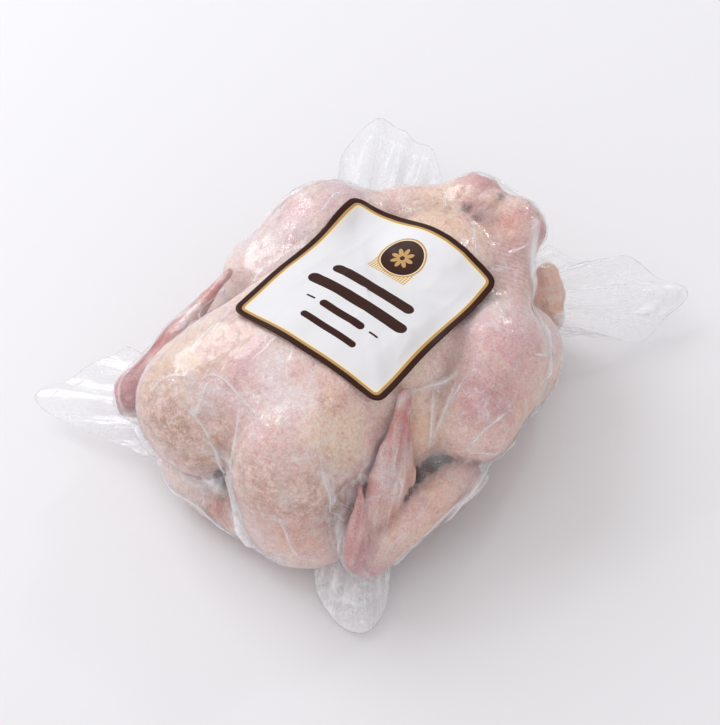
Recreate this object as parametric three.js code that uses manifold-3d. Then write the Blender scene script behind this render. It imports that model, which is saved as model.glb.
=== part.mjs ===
// A whole raw chicken, frozen breast up in a clear vacuum pouch, with a printed label over the breast.
// The pouch is sucked tight onto the bird, so bird and film are one solid: the bird's form with the film
// bridging its creases, and the pouch's four corners standing off it as thin wavy ears.
// Millimetres, +Z up. The origin is on the table, on the flat of the bird's back. The tail points to +Y.
import * as THREE from "three";
import { mergeVertices } from "three/addons/utils/BufferGeometryUtils.js";
import Module from "manifold-3d";

// ---------- Driving dimensions ----------
const BIRD_YAW = THREE.MathUtils.degToRad(-6); // the bird lies turned a little from the label
const MIDLINE = { start: -2, lean: 0.105 }; // x of the bird's mid-line at y 0, and its drift for each mm of y
const FILM_DRAPE = 5; // how wide the film bridges a crease between two parts of the bird
const FILM_STANDOFF = 0.6; // film and trapped frost over the skin
const EAR_THICKNESS = 1.8; // two sheets of film with their crumples
const LABEL = {
  width: 85, // seen from above
  length: 96,
  arch: 4, // how far the end towards the tail bows out
  corner: 6, // radius of the corners
  yaw: THREE.MathUtils.degToRad(2.5),
  centre: [-3, -4.5],
  thickness: 0.45,
  gap: 0.6, // to the film under it
  around: 40, // points round its outline
  rings: 6, // from its middle out to its outline
  pulls: 5,
};

// The breast, back and belly, each a rounded block with its half sizes along X, Y and Z.
const midX = (y) => MIDLINE.start + MIDLINE.lean * y;
const TRUNK = { at: [midX(-14), -14, 38], half: [54, 84, 40], power: 2.6, yaw: BIRD_YAW };
const KEEL = { at: [midX(-30), -34, 58], half: [30, 62, 37], power: 2.3, yaw: BIRD_YAW };
const BREAST = { y: -32, z: 56, apart: 22, half: [28, 62, 37], power: 2.5 };
const LEFT_FULLER = 4; // the left half of the breast is wider
const CROPS = [
  { side: -1, at: [-38, -76, 52], half: [32, 36, 31], crease: 10 },
  { side: 1, at: [18, -76, 45], half: [28, 34, 39], crease: 8 }, // hangs down to the table
];
const CROP_POWER = 2.4;
const NECK_SKIN = { at: [-21, -77.5, 16], half: [43, 33, 15], power: 2.3 };
const NECK_FOLD = { at: [22, -75, 20], half: [30, 32, 17], power: 2.3 };
const FLANK = { at: [44, -22, 44], half: [14, 30, 22], power: 2.3 }; // skin between breast and right knee
const BELLY = { at: [3, 44, 60], half: [33, 33, 31], power: 2.3 };
const VENT = { at: [8, 66, 46], half: [28, 24, 32], power: 2.2 };
const NECK_CLEFT = { at: [-13, -116, 38], half: [5, 20, 12], power: 2 };
const TAIL = [
  { from: [14, 74, 32], to: [36, 92, 34], radii: [19, 8] },
  { from: [35, 93.5, 45], to: [41.5, 89, 19], radii: [5.5, 7.5] }, // its flat end, on edge
];

// Joints of the legs, each folded up along the belly with its hock over the vent.
const LEGS = [
  { hip: [44, 46, 32], knee: [60, -4, 48], calf: [51, 25, 56], ankle: [34, 57, 67], hock: [18, 86, 75] },
  { hip: [-48, 46, 32], knee: [-67, -2, 51], calf: [-57, 28, 65], ankle: [-33, 62, 71], hock: [-5, 85, 77] },
];
const LEG_RADII = { hip: 29, thighEnd: 21, knee: 21.5, calf: 23.5, ankle: 11.5, shank: 11 };
const HOCK_KNOB = { half: [15, 12, 14], power: 2.3 };

// Joints of the wings, each folded flat against the breast: elbow back, wrist forward, tip back again.
const WINGS = [
  {
    shoulder: [40, -72, 24], elbow: [73, -26, 33], wrist: [63.5, -85, 30], knuckle: [57, -62, 53.5],
    tip: [44.3, -35, 81.6], thumbRoot: [62.6, -90.8, 35], thumbTip: [51.3, -75.3, 60.5],
    outward: [0.9, -0.25, 0.35],
  },
  {
    shoulder: [-46, -74, 26], elbow: [-78, -24, 37], wrist: [-76, -92, 41], knuckle: [-77, -62, 56],
    tip: [-73.5, -26, 71], thumbRoot: [-74, -90, 47], thumbTip: [-79, -72, 57], outward: [-0.85, -0.2, 0.5],
  },
];
const ARM_RADII = { shoulder: 14, elbow: 9 };
const BONES = [
  { shift: [-1, 0, 2], radii: [8.5, 9] },
  { shift: [0, 0, -5], radii: [8, 9] },
];
const HAND = { radii: [10.5, 9.5, 3.5], flat: 0.55 };
const HAND_FOLD = { shift: [1, 6, -3], radii: [9, 8, 3], flat: 0.45 }; // skin behind the hand
const THUMB = { radii: [7.8, 1.5], flat: 0.7 };

// Widths over which one part of the bird flows into the next.
const FLOW = {
  keel: 8, crop: 16, neck: 3, neckFold: 18, flank: 8, belly: 14, cleft: 10, leg: 7, tail: 6, wing: 1.5,
  drumstick: 14, shank: 6, hock: 5, thigh: 8, bones: 2.5, arm: 3, hand: 5, fold: 1.5, wrist: 4,
};

// The pouch's corners. Each runs from a root inside the bird out to a wavy edge, both given clockwise.
const EARS = [
  {
    // behind the right leg, the longest one
    root: [[20, 92, 40], [46, 72, 24]],
    edge: [[22, 112, 42], [37, 118, 36], [51, 145, 24], [71, 148, 20], [87, 150, 18], [86, 133, 13],
      [83, 113, 10], [66, 98, 16], [57, 86, 22]],
    ripple: 2.2, pleats: 5,
  },
  {
    // behind the left leg
    root: [[-78, 52, 30], [-36, 82, 34]],
    edge: [[-96, 84, 32], [-114, 112, 24], [-117, 145, 20], [-102, 147, 20], [-90, 144, 22], [-75, 141, 25],
      [-54, 122, 33]],
    ripple: 2, pleats: 4,
  },
  {
    // in front of the left wing
    root: [[-48, -96, 18], [-72, -66, 36]],
    edge: [[-62, -105, 15], [-80, -105, 11], [-107, -111, 8], [-130, -112, 12], [-125, -95, 14],
      [-116, -82, 22], [-104, -69, 33]],
    ripple: 1.6, pleats: 4,
  },
  {
    // the short one under the right wrist
    root: [[62, -62, 18], [38, -84, 14]],
    edge: [[71, -77, 9], [78, -88, 5], [81, -98, 4], [80, -107, 3.6], [72, -110.5, 3.6], [62, -110, 4],
      [50, -105, 5], [42, -98, 8]],
    ripple: 0.8, pleats: 3,
  },
];

// ---------- The bird as a field that is negative inside it ----------
const minus = (a, b) => [a[0] - b[0], a[1] - b[1], a[2] - b[2]];
const dot = (a, b) => a[0] * b[0] + a[1] * b[1] + a[2] * b[2];
const along = (a, b, t) => [a[0] + (b[0] - a[0]) * t, a[1] + (b[1] - a[1]) * t, a[2] + (b[2] - a[2]) * t];

// The lower of two fields, with the crease between them rounded over the width k.
function blend(a, b, k) {
  const near = Math.max(k - Math.abs(a - b), 0) / k;
  return Math.min(a, b) - (near * near * k) / 4;
}

// A rounded block: |x/a|^n + |y/b|^n + |z/c|^n = 1 is its surface.
function lobe(p, { at, half, power, yaw = 0 }) {
  const [x, y, z] = minus(p, at);
  const c = Math.cos(yaw);
  const s = Math.sin(yaw);
  const sum =
    Math.abs((x * c + y * s) / half[0]) ** power +
    Math.abs((y * c - x * s) / half[1]) ** power +
    Math.abs(z / half[2]) ** power;
  return Math.hypot(x, y, z) * (1 - 1 / Math.max(sum ** (1 / power), 1e-3));
}

// A round limb from a to b, whose radius goes from one end's to the other's in an S. With an outward
// direction it is thinned that way to the share `flat`.
function limb(p, a, b, radiusA, radiusB, outward = null, flat = 1) {
  const axis = minus(b, a);
  const t = THREE.MathUtils.clamp(dot(minus(p, a), axis) / dot(axis, axis), 0, 1);
  let q = minus(p, along(a, b, t));
  if (outward) {
    const tilt = dot(outward, axis) / dot(axis, axis);
    const side = minus(outward, [axis[0] * tilt, axis[1] * tilt, axis[2] * tilt]);
    const length = Math.hypot(...side);
    const height = dot(q, side) / length;
    const stretch = (height * (1 / flat - 1)) / length;
    q = [q[0] + side[0] * stretch, q[1] + side[1] * stretch, q[2] + side[2] * stretch];
  }
  return Math.hypot(...q) - (radiusA + (radiusB - radiusA) * t * t * (3 - 2 * t));
}

// Limbs end to end through the points, with the radius given at each.
function chain(p, points, radii, k, outward, flat) {
  let field = Infinity;
  for (let i = 1; i < points.length; i++)
    field = blend(field, limb(p, points[i - 1], points[i], radii[i - 1], radii[i], outward, flat), k);
  return field;
}

function torso(p, drape) {
  let field = blend(lobe(p, TRUNK), lobe(p, KEEL), FLOW.keel);
  for (const { side, at, half, crease } of CROPS) {
    const [width, length, height] = BREAST.half;
    const breast = lobe(p, {
      at: [midX(BREAST.y) + side * BREAST.apart, BREAST.y, BREAST.z],
      half: [width + (side < 0 ? LEFT_FULLER : 0), length, height],
      power: BREAST.power,
      yaw: BIRD_YAW,
    });
    const crop = lobe(p, { at, half, power: CROP_POWER, yaw: BIRD_YAW });
    field = blend(field, blend(breast, crop, FLOW.crop), crease + drape / 2);
  }
  field = blend(field, lobe(p, NECK_SKIN), FLOW.neck + drape);
  field = blend(field, lobe(p, NECK_FOLD), FLOW.neckFold);
  field = blend(field, lobe(p, FLANK), FLOW.flank);
  field = blend(field, lobe(p, BELLY), FLOW.belly);
  field = blend(field, lobe(p, VENT), FLOW.belly);
  return -blend(-field, lobe(p, NECK_CLEFT), FLOW.cleft);
}

function leg(p, { hip, knee, calf, ankle, hock }) {
  const r = LEG_RADII;
  const thigh = limb(p, hip, knee, r.hip, r.thighEnd);
  let drumstick = chain(p, [knee, calf, ankle], [r.knee, r.calf, r.ankle], FLOW.drumstick);
  drumstick = blend(drumstick, limb(p, ankle, hock, r.shank, r.ankle), FLOW.shank);
  drumstick = blend(drumstick, lobe(p, { at: hock, ...HOCK_KNOB }), FLOW.hock);
  return blend(thigh, drumstick, FLOW.thigh);
}

// The forearm's two bones show as two ridges, and a fold of skin runs behind the hand.
function wing(p, { shoulder, elbow, wrist, knuckle, tip, thumbRoot, thumbTip, outward }, drape) {
  const moved = (point, shift) => point.map((value, axis) => value + shift[axis]);
  const upperArm = limb(p, shoulder, elbow, ARM_RADII.shoulder, ARM_RADII.elbow);
  const bone = ({ shift, radii }) => limb(p, moved(elbow, shift), moved(wrist, shift), ...radii);
  const [radius, ulna] = BONES.map(bone);
  const arm = blend(upperArm, blend(radius, ulna, FLOW.bones), FLOW.arm + drape);
  const blade = chain(p, [wrist, knuckle, tip], HAND.radii, FLOW.hand, outward, HAND.flat);
  const foldLine = [wrist, moved(knuckle, HAND_FOLD.shift), tip];
  const fold = chain(p, foldLine, HAND_FOLD.radii, FLOW.hand, outward, HAND_FOLD.flat);
  const thumb = limb(p, thumbRoot, thumbTip, ...THUMB.radii, outward, THUMB.flat);
  const hand = blend(blend(blade, fold, FLOW.fold), thumb, FLOW.fold);
  return blend(arm, hand, FLOW.wrist + drape);
}

// The bird with its creases bridged over the width `drape`, cut off by the table.
function bird(p, drape) {
  let field = torso(p, drape);
  for (const joints of LEGS) field = blend(field, leg(p, joints), FLOW.leg + drape);
  for (const { from, to, radii } of TAIL) field = blend(field, limb(p, from, to, ...radii), FLOW.tail);
  for (const joints of WINGS) field = blend(field, wing(p, joints, drape), FLOW.wing + drape);
  return field;
}

const film = (p) => Math.max(bird(p, FILM_DRAPE) - FILM_STANDOFF, -p[2]);

// How far along the way from `core` out to `shell` the film lies, found by walking in from outside. Each
// stride is a share of the field's value there, because the field can be more than the distance to the film.
const WALK = { stride: 0.55, shortest: 0.01, arrived: 0.005 };

function meetFilm(core, shell) {
  const length = Math.hypot(...minus(shell, core));
  let walked = 0;
  while (walked < length) {
    const distance = film(along(shell, core, walked / length));
    if (distance < WALK.arrived) break;
    walked += Math.max(distance * WALK.stride, WALK.shortest);
  }
  return 1 - walked / length;
}

// ---------- Meshes ----------
const WRAP = {
  centre: [-2, -6, 44],
  outer: [112, 132, 74], // half sizes of the box that the film starts from
  inner: [34, 72, 8], // and of the box that it slides towards
  segments: [28, 35, 15],
  pulls: 2,
  resting: 0.05, // what is lower lies on the table
};
const EAR_GRID = { columns: 14, rows: 4 };

// Pulls a stretched skin straight. Each vertex may move along its own line from a core point out to a shell
// point. It starts at the given share of the way and goes to the mean of its neighbours, but never in.
function pullTaut(lines, shares, neighbours, rounds) {
  const taut = [...shares];
  const points = lines.map((line, i) => along(...line, taut[i]));
  for (let round = 0; round < rounds; round++)
    neighbours.forEach((around, i) => {
      const [core, shell] = lines[i];
      const total = (axis) => around.reduce((sum, n) => sum + points[n][axis], 0);
      const mean = [0, 1, 2].map((axis) => total(axis) / around.length);
      const way = minus(shell, core);
      taut[i] = Math.max(taut[i], dot(minus(mean, core), way) / dot(way, way));
      points[i] = along(core, shell, taut[i]);
    });
  return points;
}

// Which vertices each vertex shares an edge with.
function edgeNeighbours(geometry) {
  const index = geometry.index.array;
  const sets = Array.from({ length: geometry.getAttribute("position").count }, () => new Set());
  for (let i = 0; i < index.length; i += 3)
    for (const [a, b] of [[0, 1], [1, 2], [2, 0]]) {
      sets[index[i + a]].add(index[i + b]);
      sets[index[i + b]].add(index[i + a]);
    }
  return sets.map((set) => [...set]);
}

// A closed box whose every vertex slides in, from the outer box towards the inner one, until it meets the
// film.
function wrapGeometry() {
  const { centre, outer, inner, segments, pulls, resting } = WRAP;
  const box = new THREE.BoxGeometry(2, 2, 2, ...segments);
  box.deleteAttribute("normal");
  box.deleteAttribute("uv");
  const geometry = mergeVertices(box, 1e-3);
  const position = geometry.getAttribute("position");
  const rays = Array.from({ length: position.count }, (_, i) => {
    const unit = [position.getX(i), position.getY(i), position.getZ(i)];
    return [inner, outer].map((size) => unit.map((u, axis) => centre[axis] + u * size[axis]));
  });
  const met = rays.map(([core, shell]) => meetFilm(core, shell));
  pullTaut(rays, met, edgeNeighbours(geometry), pulls).forEach(([x, y, z], i) => {
    position.setXYZ(i, x, y, z < resting ? 0 : z);
  });
  return geometry;
}

// A closed slab between two grids of rows of points, one above the other.
function slabGeometry(top, bottom) {
  const rows = top.length;
  const columns = top[0].length;
  const vertices = [...top, ...bottom].flat(2);
  const index = [];
  const at = (layer, r, c) => (layer * rows + r) * columns + c;
  const quad = (a, b, c, d) => index.push(a, b, c, a, c, d);
  for (let r = 1; r < rows; r++)
    for (let c = 1; c < columns; c++) {
      quad(at(0, r - 1, c - 1), at(0, r - 1, c), at(0, r, c), at(0, r, c - 1));
      quad(at(1, r - 1, c - 1), at(1, r, c - 1), at(1, r, c), at(1, r - 1, c));
    }
  for (let r = 1; r < rows; r++) {
    quad(at(0, r - 1, 0), at(0, r, 0), at(1, r, 0), at(1, r - 1, 0));
    quad(at(0, r, columns - 1), at(0, r - 1, columns - 1), at(1, r - 1, columns - 1), at(1, r, columns - 1));
  }
  for (let c = 1; c < columns; c++) {
    quad(at(0, 0, c), at(0, 0, c - 1), at(1, 0, c - 1), at(1, 0, c));
    quad(at(0, rows - 1, c - 1), at(0, rows - 1, c), at(1, rows - 1, c), at(1, rows - 1, c - 1));
  }
  const geometry = new THREE.BufferGeometry();
  geometry.setAttribute("position", new THREE.Float32BufferAttribute(vertices, 3));
  geometry.setIndex(index);
  return geometry;
}

// An ear is a fan of straight lines from the root to the edge, lifted into pleats between them.
function earGeometry({ root, edge, ripple, pleats }) {
  const { columns, rows } = EAR_GRID;
  const curve = new THREE.CatmullRomCurve3(edge.map((p) => new THREE.Vector3(...p)));
  const layer = (offset) =>
    Array.from({ length: rows + 1 }, (_, r) =>
      Array.from({ length: columns + 1 }, (_, c) => {
        const u = c / columns;
        const v = r / rows;
        const [x, y, z] = along(along(...root, u), curve.getPoint(u).toArray(), v);
        const lift = ripple * Math.sin(2 * Math.PI * pleats * u) * Math.sin(Math.PI * Math.min(v, 0.8));
        return [x, y, z + lift + offset];
      }),
    );
  return slabGeometry(layer(EAR_THICKNESS / 2), layer(-EAR_THICKNESS / 2));
}

// The label's outline, flat: straight sides and lower edge, round corners and a bowed upper edge.
function labelOutline() {
  const x = LABEL.width / 2;
  const y = LABEL.length / 2;
  const r = LABEL.corner;
  const outline = new THREE.Shape();
  outline.moveTo(r - x, -y);
  outline.lineTo(x - r, -y);
  outline.quadraticCurveTo(x, -y, x, r - y);
  outline.lineTo(x, y - r);
  outline.quadraticCurveTo(x, y, x - r, y + LABEL.arch / 4);
  outline.quadraticCurveTo(0, y + LABEL.arch * 1.75, r - x, y + LABEL.arch / 4);
  outline.quadraticCurveTo(-x, y, -x, y - r);
  outline.lineTo(-x, r - y);
  outline.quadraticCurveTo(-x, -y, r - x, -y);
  return outline;
}

// The label lies on the film. Its points are rings of the outline, dropped onto the bag below them and then
// pulled straight, so that the stiff print bridges the small creases under it.
const DROP = 200; // height that the label's points are dropped from

function labelGeometry(bag) {
  const { around, rings } = LABEL;
  const outline = labelOutline().getSpacedPoints(around).slice(0, around);
  const at = (ring, i) => (ring ? 1 + (ring - 1) * around + ((i + around) % around) : 0);
  const plan = [new THREE.Vector2(0, 0)];
  const neighbours = [outline.map((_, i) => at(1, i))];
  for (let r = 1; r <= rings; r++)
    outline.forEach((p, i) => {
      plan.push(p.clone().multiplyScalar(r / rings));
      neighbours.push([at(r, i - 1), at(r, i + 1), ...(r < rings ? [at(r - 1, i), at(r + 1, i)] : [])]);
    });
  const centre = new THREE.Vector2(...LABEL.centre);
  for (const p of plan) p.rotateAround(new THREE.Vector2(), LABEL.yaw).add(centre);

  const ray = new THREE.Raycaster();
  const down = new THREE.Vector3(0, 0, -1);
  const drops = plan.map(({ x, y }) => [[x, y, 0], [x, y, DROP]]);
  const dropped = plan.map(({ x, y }) => {
    ray.set(new THREE.Vector3(x, y, DROP), down);
    return ray.intersectObject(bag)[0].point.z / DROP;
  });
  const lying = pullTaut(drops, dropped, neighbours, LABEL.pulls);

  const vertices = [];
  for (const lift of [LABEL.gap + LABEL.thickness, LABEL.gap])
    for (const [x, y, z] of lying) vertices.push(x, y, z + lift);
  const under = plan.length;
  const index = [];
  const bothFaces = (a, b, c) => index.push(a, b, c, under + a, under + c, under + b);
  for (let i = 0; i < around; i++) {
    bothFaces(0, at(1, i), at(1, i + 1));
    for (let r = 1; r < rings; r++) {
      bothFaces(at(r, i), at(r + 1, i), at(r + 1, i + 1));
      bothFaces(at(r, i), at(r + 1, i + 1), at(r, i + 1));
    }
    const [a, b] = [at(rings, i), at(rings, i + 1)];
    index.push(a, under + a, under + b, a, under + b, b);
  }
  const geometry = new THREE.BufferGeometry();
  geometry.setAttribute("position", new THREE.Float32BufferAttribute(vertices, 3));
  geometry.setIndex(index);
  return geometry;
}

// ---------- Joining ----------
const wasm = await Module();
wasm.setup();

function toSolid(geometry) {
  return new wasm.Manifold(
    new wasm.Mesh({
      numProp: 3,
      vertProperties: new Float32Array(geometry.getAttribute("position").array),
      triVerts: new Uint32Array(geometry.index.array),
    }),
  );
}

function toGeometry(solid) {
  const mesh = solid.getMesh();
  const geometry = new THREE.BufferGeometry();
  geometry.setAttribute("position", new THREE.BufferAttribute(mesh.vertProperties, 3));
  geometry.setIndex(new THREE.BufferAttribute(mesh.triVerts, 1));
  geometry.computeVertexNormals();
  return geometry;
}

// ---------- The part ----------
const chicken = new THREE.Group();

let bagSolid = toSolid(wrapGeometry());
for (const ear of EARS) bagSolid = bagSolid.add(toSolid(earGeometry(ear)));
const skinUnderFilm = new THREE.MeshStandardMaterial({ color: 0xe3c9bd, roughness: 0.35, metalness: 0 });
const bag = new THREE.Mesh(toGeometry(bagSolid), skinUnderFilm);
bag.name = "bagged_chicken";
chicken.add(bag);

const printedPaper = new THREE.MeshStandardMaterial({ color: 0xf2f3f7, roughness: 0.4, metalness: 0 });
const label = new THREE.Mesh(labelGeometry(bag), printedPaper);
label.name = "label";
chicken.add(label);

export default chicken;
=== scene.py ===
"""A whole raw chicken, frozen breast up in a clear vacuum pouch, with a printed label over the breast.

Shapes are worked out in millimetres, as arrays of points with X, Y and Z in the last axis, and become
metres when a mesh is made. The tail points to +Y, and the pack rests on the flat of the bird's back at Z 0.
"""
import math
import bpy
import numpy as np
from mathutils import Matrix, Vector


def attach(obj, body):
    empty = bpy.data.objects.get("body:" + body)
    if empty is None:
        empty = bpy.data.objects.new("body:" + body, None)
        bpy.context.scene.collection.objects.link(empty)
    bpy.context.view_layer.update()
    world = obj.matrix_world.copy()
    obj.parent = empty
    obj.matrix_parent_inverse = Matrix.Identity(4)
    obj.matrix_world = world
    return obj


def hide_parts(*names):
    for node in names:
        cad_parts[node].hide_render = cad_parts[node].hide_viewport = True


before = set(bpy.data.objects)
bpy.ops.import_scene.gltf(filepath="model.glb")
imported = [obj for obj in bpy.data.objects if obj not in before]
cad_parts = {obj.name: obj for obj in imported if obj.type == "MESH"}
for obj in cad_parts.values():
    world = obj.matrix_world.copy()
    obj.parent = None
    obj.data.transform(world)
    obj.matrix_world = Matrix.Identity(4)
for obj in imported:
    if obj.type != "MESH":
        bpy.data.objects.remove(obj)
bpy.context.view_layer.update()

# ---------------------------------------------------------------- table, light and camera
# The pack lies on a wide pale board in a white room, under a soft light from its left and two narrow ones
# that glint on the film. The camera looks down on its front right corner with a long lens.
TABLE_SIZE = 5.0
TABLE_TONES = ((226, 226, 229), (229, 229, 232))
ROOM_COLOUR = (252, 249, 249)
ROOM_GLOW = 0.54
GLOWS = [
    # the side that a glow comes from, the cosine at which it starts, how strong it is at its middle
    ((-0.8, 0.1, 0.6), 0.1, 0.2),
    ((0.8, -0.55, 0.0), 0.3, 0.46),
    ((0.0, -0.64, 0.77), 0.25, 0.32),
]
LAMPS = {
    "softbox": {"place": (-1.6, 0.12, 1.4), "size": 1.1, "power": 19.0, "tint": (0.95, 0.975, 1.0)},
    "strip_light_left": {"place": (-0.75, -0.35, 0.7), "size": 0.07, "power": 0.55},
    "strip_light_back": {"place": (-0.1, 0.85, 0.8), "size": 0.09, "power": 0.7},
}
AIM = Vector((-0.0046, -0.0075, 0.0398))
CAMERA_AZIMUTH = math.radians(39.5)
CAMERA_HEIGHT = math.radians(52)
CAMERA_DISTANCE = 0.8885
LENS = 90


def srgb(red, green, blue):
    """A screen colour from 0 to 255 as the linear colour that a shader takes."""
    share = np.array([red, green, blue]) / 255
    linear = np.where(share > 0.04045, ((share + 0.055) / 1.055) ** 2.4, share / 12.92)
    return (*(float(x) for x in linear), 1.0)


def add_node(tree, kind, inputs=(), **settings):
    """A shader node with its settings. An input is given a value, or a link from another node's socket."""
    node = tree.nodes.new(kind)
    for name, value in settings.items():
        setattr(node, name, value)
    for name, value in dict(inputs).items():
        if isinstance(value, bpy.types.NodeSocket):
            tree.links.new(value, node.inputs[name])
        else:
            node.inputs[name].default_value = value
    return node


def new_material(name):
    """An empty material with its node tree."""
    material = bpy.data.materials.new(name)
    material.use_nodes = True
    material.node_tree.nodes.clear()
    return material, material.node_tree


def set_surface(tree, shader):
    """Links a shader to the material's output."""
    add_node(tree, "ShaderNodeOutputMaterial", {"Surface": shader})


def look_at(thing, place, target):
    """Puts a camera or lamp at a place and turns it to face a target."""
    thing.location = place
    thing.rotation_euler = (Vector(target) - Vector(place)).to_track_quat("-Z", "Y").to_euler()


def mix_colour(tree, factor, under, over):
    """The colour `under` covered by `over` where the factor is 1. A colour is a socket or a linear colour."""
    return add_node(tree, "ShaderNodeMix", {0: factor, 6: under, 7: over}, data_type="RGBA").outputs[2]


def build_table():
    """A flat square of pale satin board."""
    material, tree = new_material("table_board")
    place = add_node(tree, "ShaderNodeTexCoord").outputs["Object"]
    grain = add_node(tree, "ShaderNodeTexNoise", {"Vector": place, "Scale": 0.6, "Detail": 2.0})
    tone = mix_colour(tree, grain.outputs[0], *(srgb(*tone) for tone in TABLE_TONES))
    board = add_node(tree, "ShaderNodeBsdfPrincipled", {"Base Color": tone, "Roughness": 0.6})
    set_surface(tree, board.outputs[0])
    half = TABLE_SIZE / 2
    mesh = bpy.data.meshes.new("table")
    corners = [(-half, -half, 0), (half, -half, 0), (half, half, 0), (-half, half, 0)]
    mesh.from_pydata(corners, [], [(0, 1, 2, 3)])
    mesh.materials.append(material)
    table = bpy.data.objects.new("table", mesh)
    bpy.context.scene.collection.objects.link(table)
    return table


def build_lamp(name, place, size, power, tint=(1, 1, 1)):
    """A square soft light that faces the pack."""
    light = bpy.data.lights.new(name, "AREA")
    light.color = tint
    light.energy = power
    light.size = size
    lamp = bpy.data.objects.new(name, light)
    bpy.context.scene.collection.objects.link(lamp)
    look_at(lamp, place, AIM)


def build_camera():
    """A camera on a long lens, looking down at the pack."""
    camera = bpy.data.objects.new("camera", bpy.data.cameras.new("camera"))
    camera.data.lens = LENS
    bpy.context.scene.collection.objects.link(camera)
    level = CAMERA_DISTANCE * math.cos(CAMERA_HEIGHT)
    away = Vector((math.sin(CAMERA_AZIMUTH) * level, -math.cos(CAMERA_AZIMUTH) * level,
                   CAMERA_DISTANCE * math.sin(CAMERA_HEIGHT)))
    look_at(camera, AIM + away, AIM)
    bpy.context.scene.camera = camera


def build_room():
    """A white room that glows evenly, and more from its window, the low wall across from it and the front:
    each glow grows with the cosine of the angle to its side."""
    room = bpy.data.worlds.new("white_room")
    room.use_nodes = True
    tree = room.node_tree
    away = add_node(tree, "ShaderNodeTexCoord").outputs["Generated"]
    glow = ROOM_GLOW
    for facing, start, power in GLOWS:
        toward = Vector(facing).normalized()
        side = add_node(tree, "ShaderNodeVectorMath", {0: away, 1: toward}, operation="DOT_PRODUCT")
        share = add_node(tree, "ShaderNodeMapRange", {0: side.outputs["Value"], 1: start, 2: 1.0},
                         interpolation_type="SMOOTHSTEP")
        glow = add_node(tree, "ShaderNodeMath", {0: share.outputs[0], 1: power, 2: glow},
                        operation="MULTIPLY_ADD").outputs[0]
    tree.nodes["Background"].inputs["Color"].default_value = srgb(*ROOM_COLOUR)
    tree.links.new(glow, tree.nodes["Background"].inputs["Strength"])
    bpy.context.scene.world = room


build_table()
for lamp_name, lamp in LAMPS.items():
    build_lamp(lamp_name, **lamp)
build_camera()
build_room()
bpy.context.scene.view_settings.view_transform = "Standard"

# ---------------------------------------------------------------- the bird
# A plucked bird with its neck, feet and giblets off, its drumsticks folded up over the belly and its wings
# flat on the breast. Its form is a field that is negative inside it, joined from rounded blocks and round
# cones between the joints, and its skin is where the field is 0.
BIRD_YAW = -6.0
MIDLINE_START = -2.0
MIDLINE_LEAN = 0.105


def mid_x(y):
    """The bird's mid-line leans a little to the right towards the tail."""
    return MIDLINE_START + MIDLINE_LEAN * y


TRUNK = {"at": (mid_x(-14), -14, 38), "half": (54, 84, 40), "power": 2.6, "yaw": BIRD_YAW}
KEEL = {"at": (mid_x(-30), -34, 58), "half": (30, 62, 37), "power": 2.3, "yaw": BIRD_YAW}
BREAST = {"y": -32, "z": 56, "apart": 22.0, "half": (28, 62, 37), "power": 2.5}
LEFT_FULLER = 4.0
CROPS = [
    {"side": -1, "at": (-38.0, -76, 52), "half": (32, 36, 31), "crease": 10},
    {"side": 1, "at": (18.0, -76, 45), "half": (28, 34, 39), "crease": 8},
]
CROP_POWER = 2.4
FLESH = [
    # both sides of the neck skin, the flank, the belly and the vent: the middle, half sizes and power of each
    # block, the width over which it flows into the rest, and the share of the film's drape in that width
    ((-21, -77.5, 16), (43, 33, 15), 2.3, 3, 1), ((22, -75, 20), (30, 32, 17), 2.3, 18, 0),
    ((44, -22, 44), (14, 30, 22), 2.3, 8, 0), ((3, 44, 60), (33, 33, 31), 2.3, 14, 0),
    ((8, 66, 46), (28, 24, 32), 2.2, 14, 0),
]
NECK_CLEFT = {"at": (-13, -116, 38), "half": (5, 20, 12), "power": 2.0}
TAIL = [((14, 74, 32), (36, 92, 34), 19, 8), ((35, 93.5, 45), (41.5, 89, 19), 5.5, 7.5)]
LEGS = [
    {"hip": (44, 46, 32), "knee": (60, -4, 48), "calf": (51, 25, 56), "ankle": (34, 57, 67),
     "hock": (18, 86, 75)},
    {"hip": (-48, 46, 32), "knee": (-67, -2, 51), "calf": (-57, 28, 65), "ankle": (-33, 62, 71),
     "hock": (-5, 85, 77)},
]
WINGS = [
    {"shoulder": (40, -72, 24), "elbow": (73, -26, 33), "wrist": (63.5, -85, 30), "knuckle": (57, -62, 53.5),
     "tip": (44.3, -35, 81.6), "thumb_root": (62.6, -90.8, 35), "thumb_tip": (51.3, -75.3, 60.5),
     "outward": (0.9, -0.25, 0.35)},
    {"shoulder": (-46, -74, 26), "elbow": (-78, -24, 37), "wrist": (-76, -92, 41), "knuckle": (-77, -62, 56),
     "tip": (-73.5, -26, 71), "thumb_root": (-74, -90, 47), "thumb_tip": (-79, -72, 57),
     "outward": (-0.85, -0.2, 0.5)},
]
THIGH_RADII = (29, 21)
DRUMSTICK_RADII = (21.5, 23.5, 11.5)
SHANK_RADII = (11, 11.5)
HOCK_KNOB = {"half": (15, 12, 14), "power": 2.3}
ARM_RADII = (14, 9)
BONES = [((-1, 0, 2), 8.5, 9), ((0, 0, -5), 8, 9)]
HAND = {"radii": [10.5, 9.5, 3.5], "flat": 0.55}
HAND_FOLD = {"radii": [9, 8, 3], "flat": 0.45}
HAND_FOLD_SHIFT = (1, 6, -3)
THUMB = {"radius_a": 7.8, "radius_b": 1.5, "flat": 0.7}
FLOW = {
    "keel": 8, "crop": 16, "cleft": 10, "leg": 7, "tail": 6, "wing": 1.5, "drumstick": 14, "shank": 6,
    "hock": 5, "thigh": 8, "bones": 2.5, "arm": 3, "hand": 5, "fold": 1.5, "wrist": 4,
}
RESTING_GAP = 0.7
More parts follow.
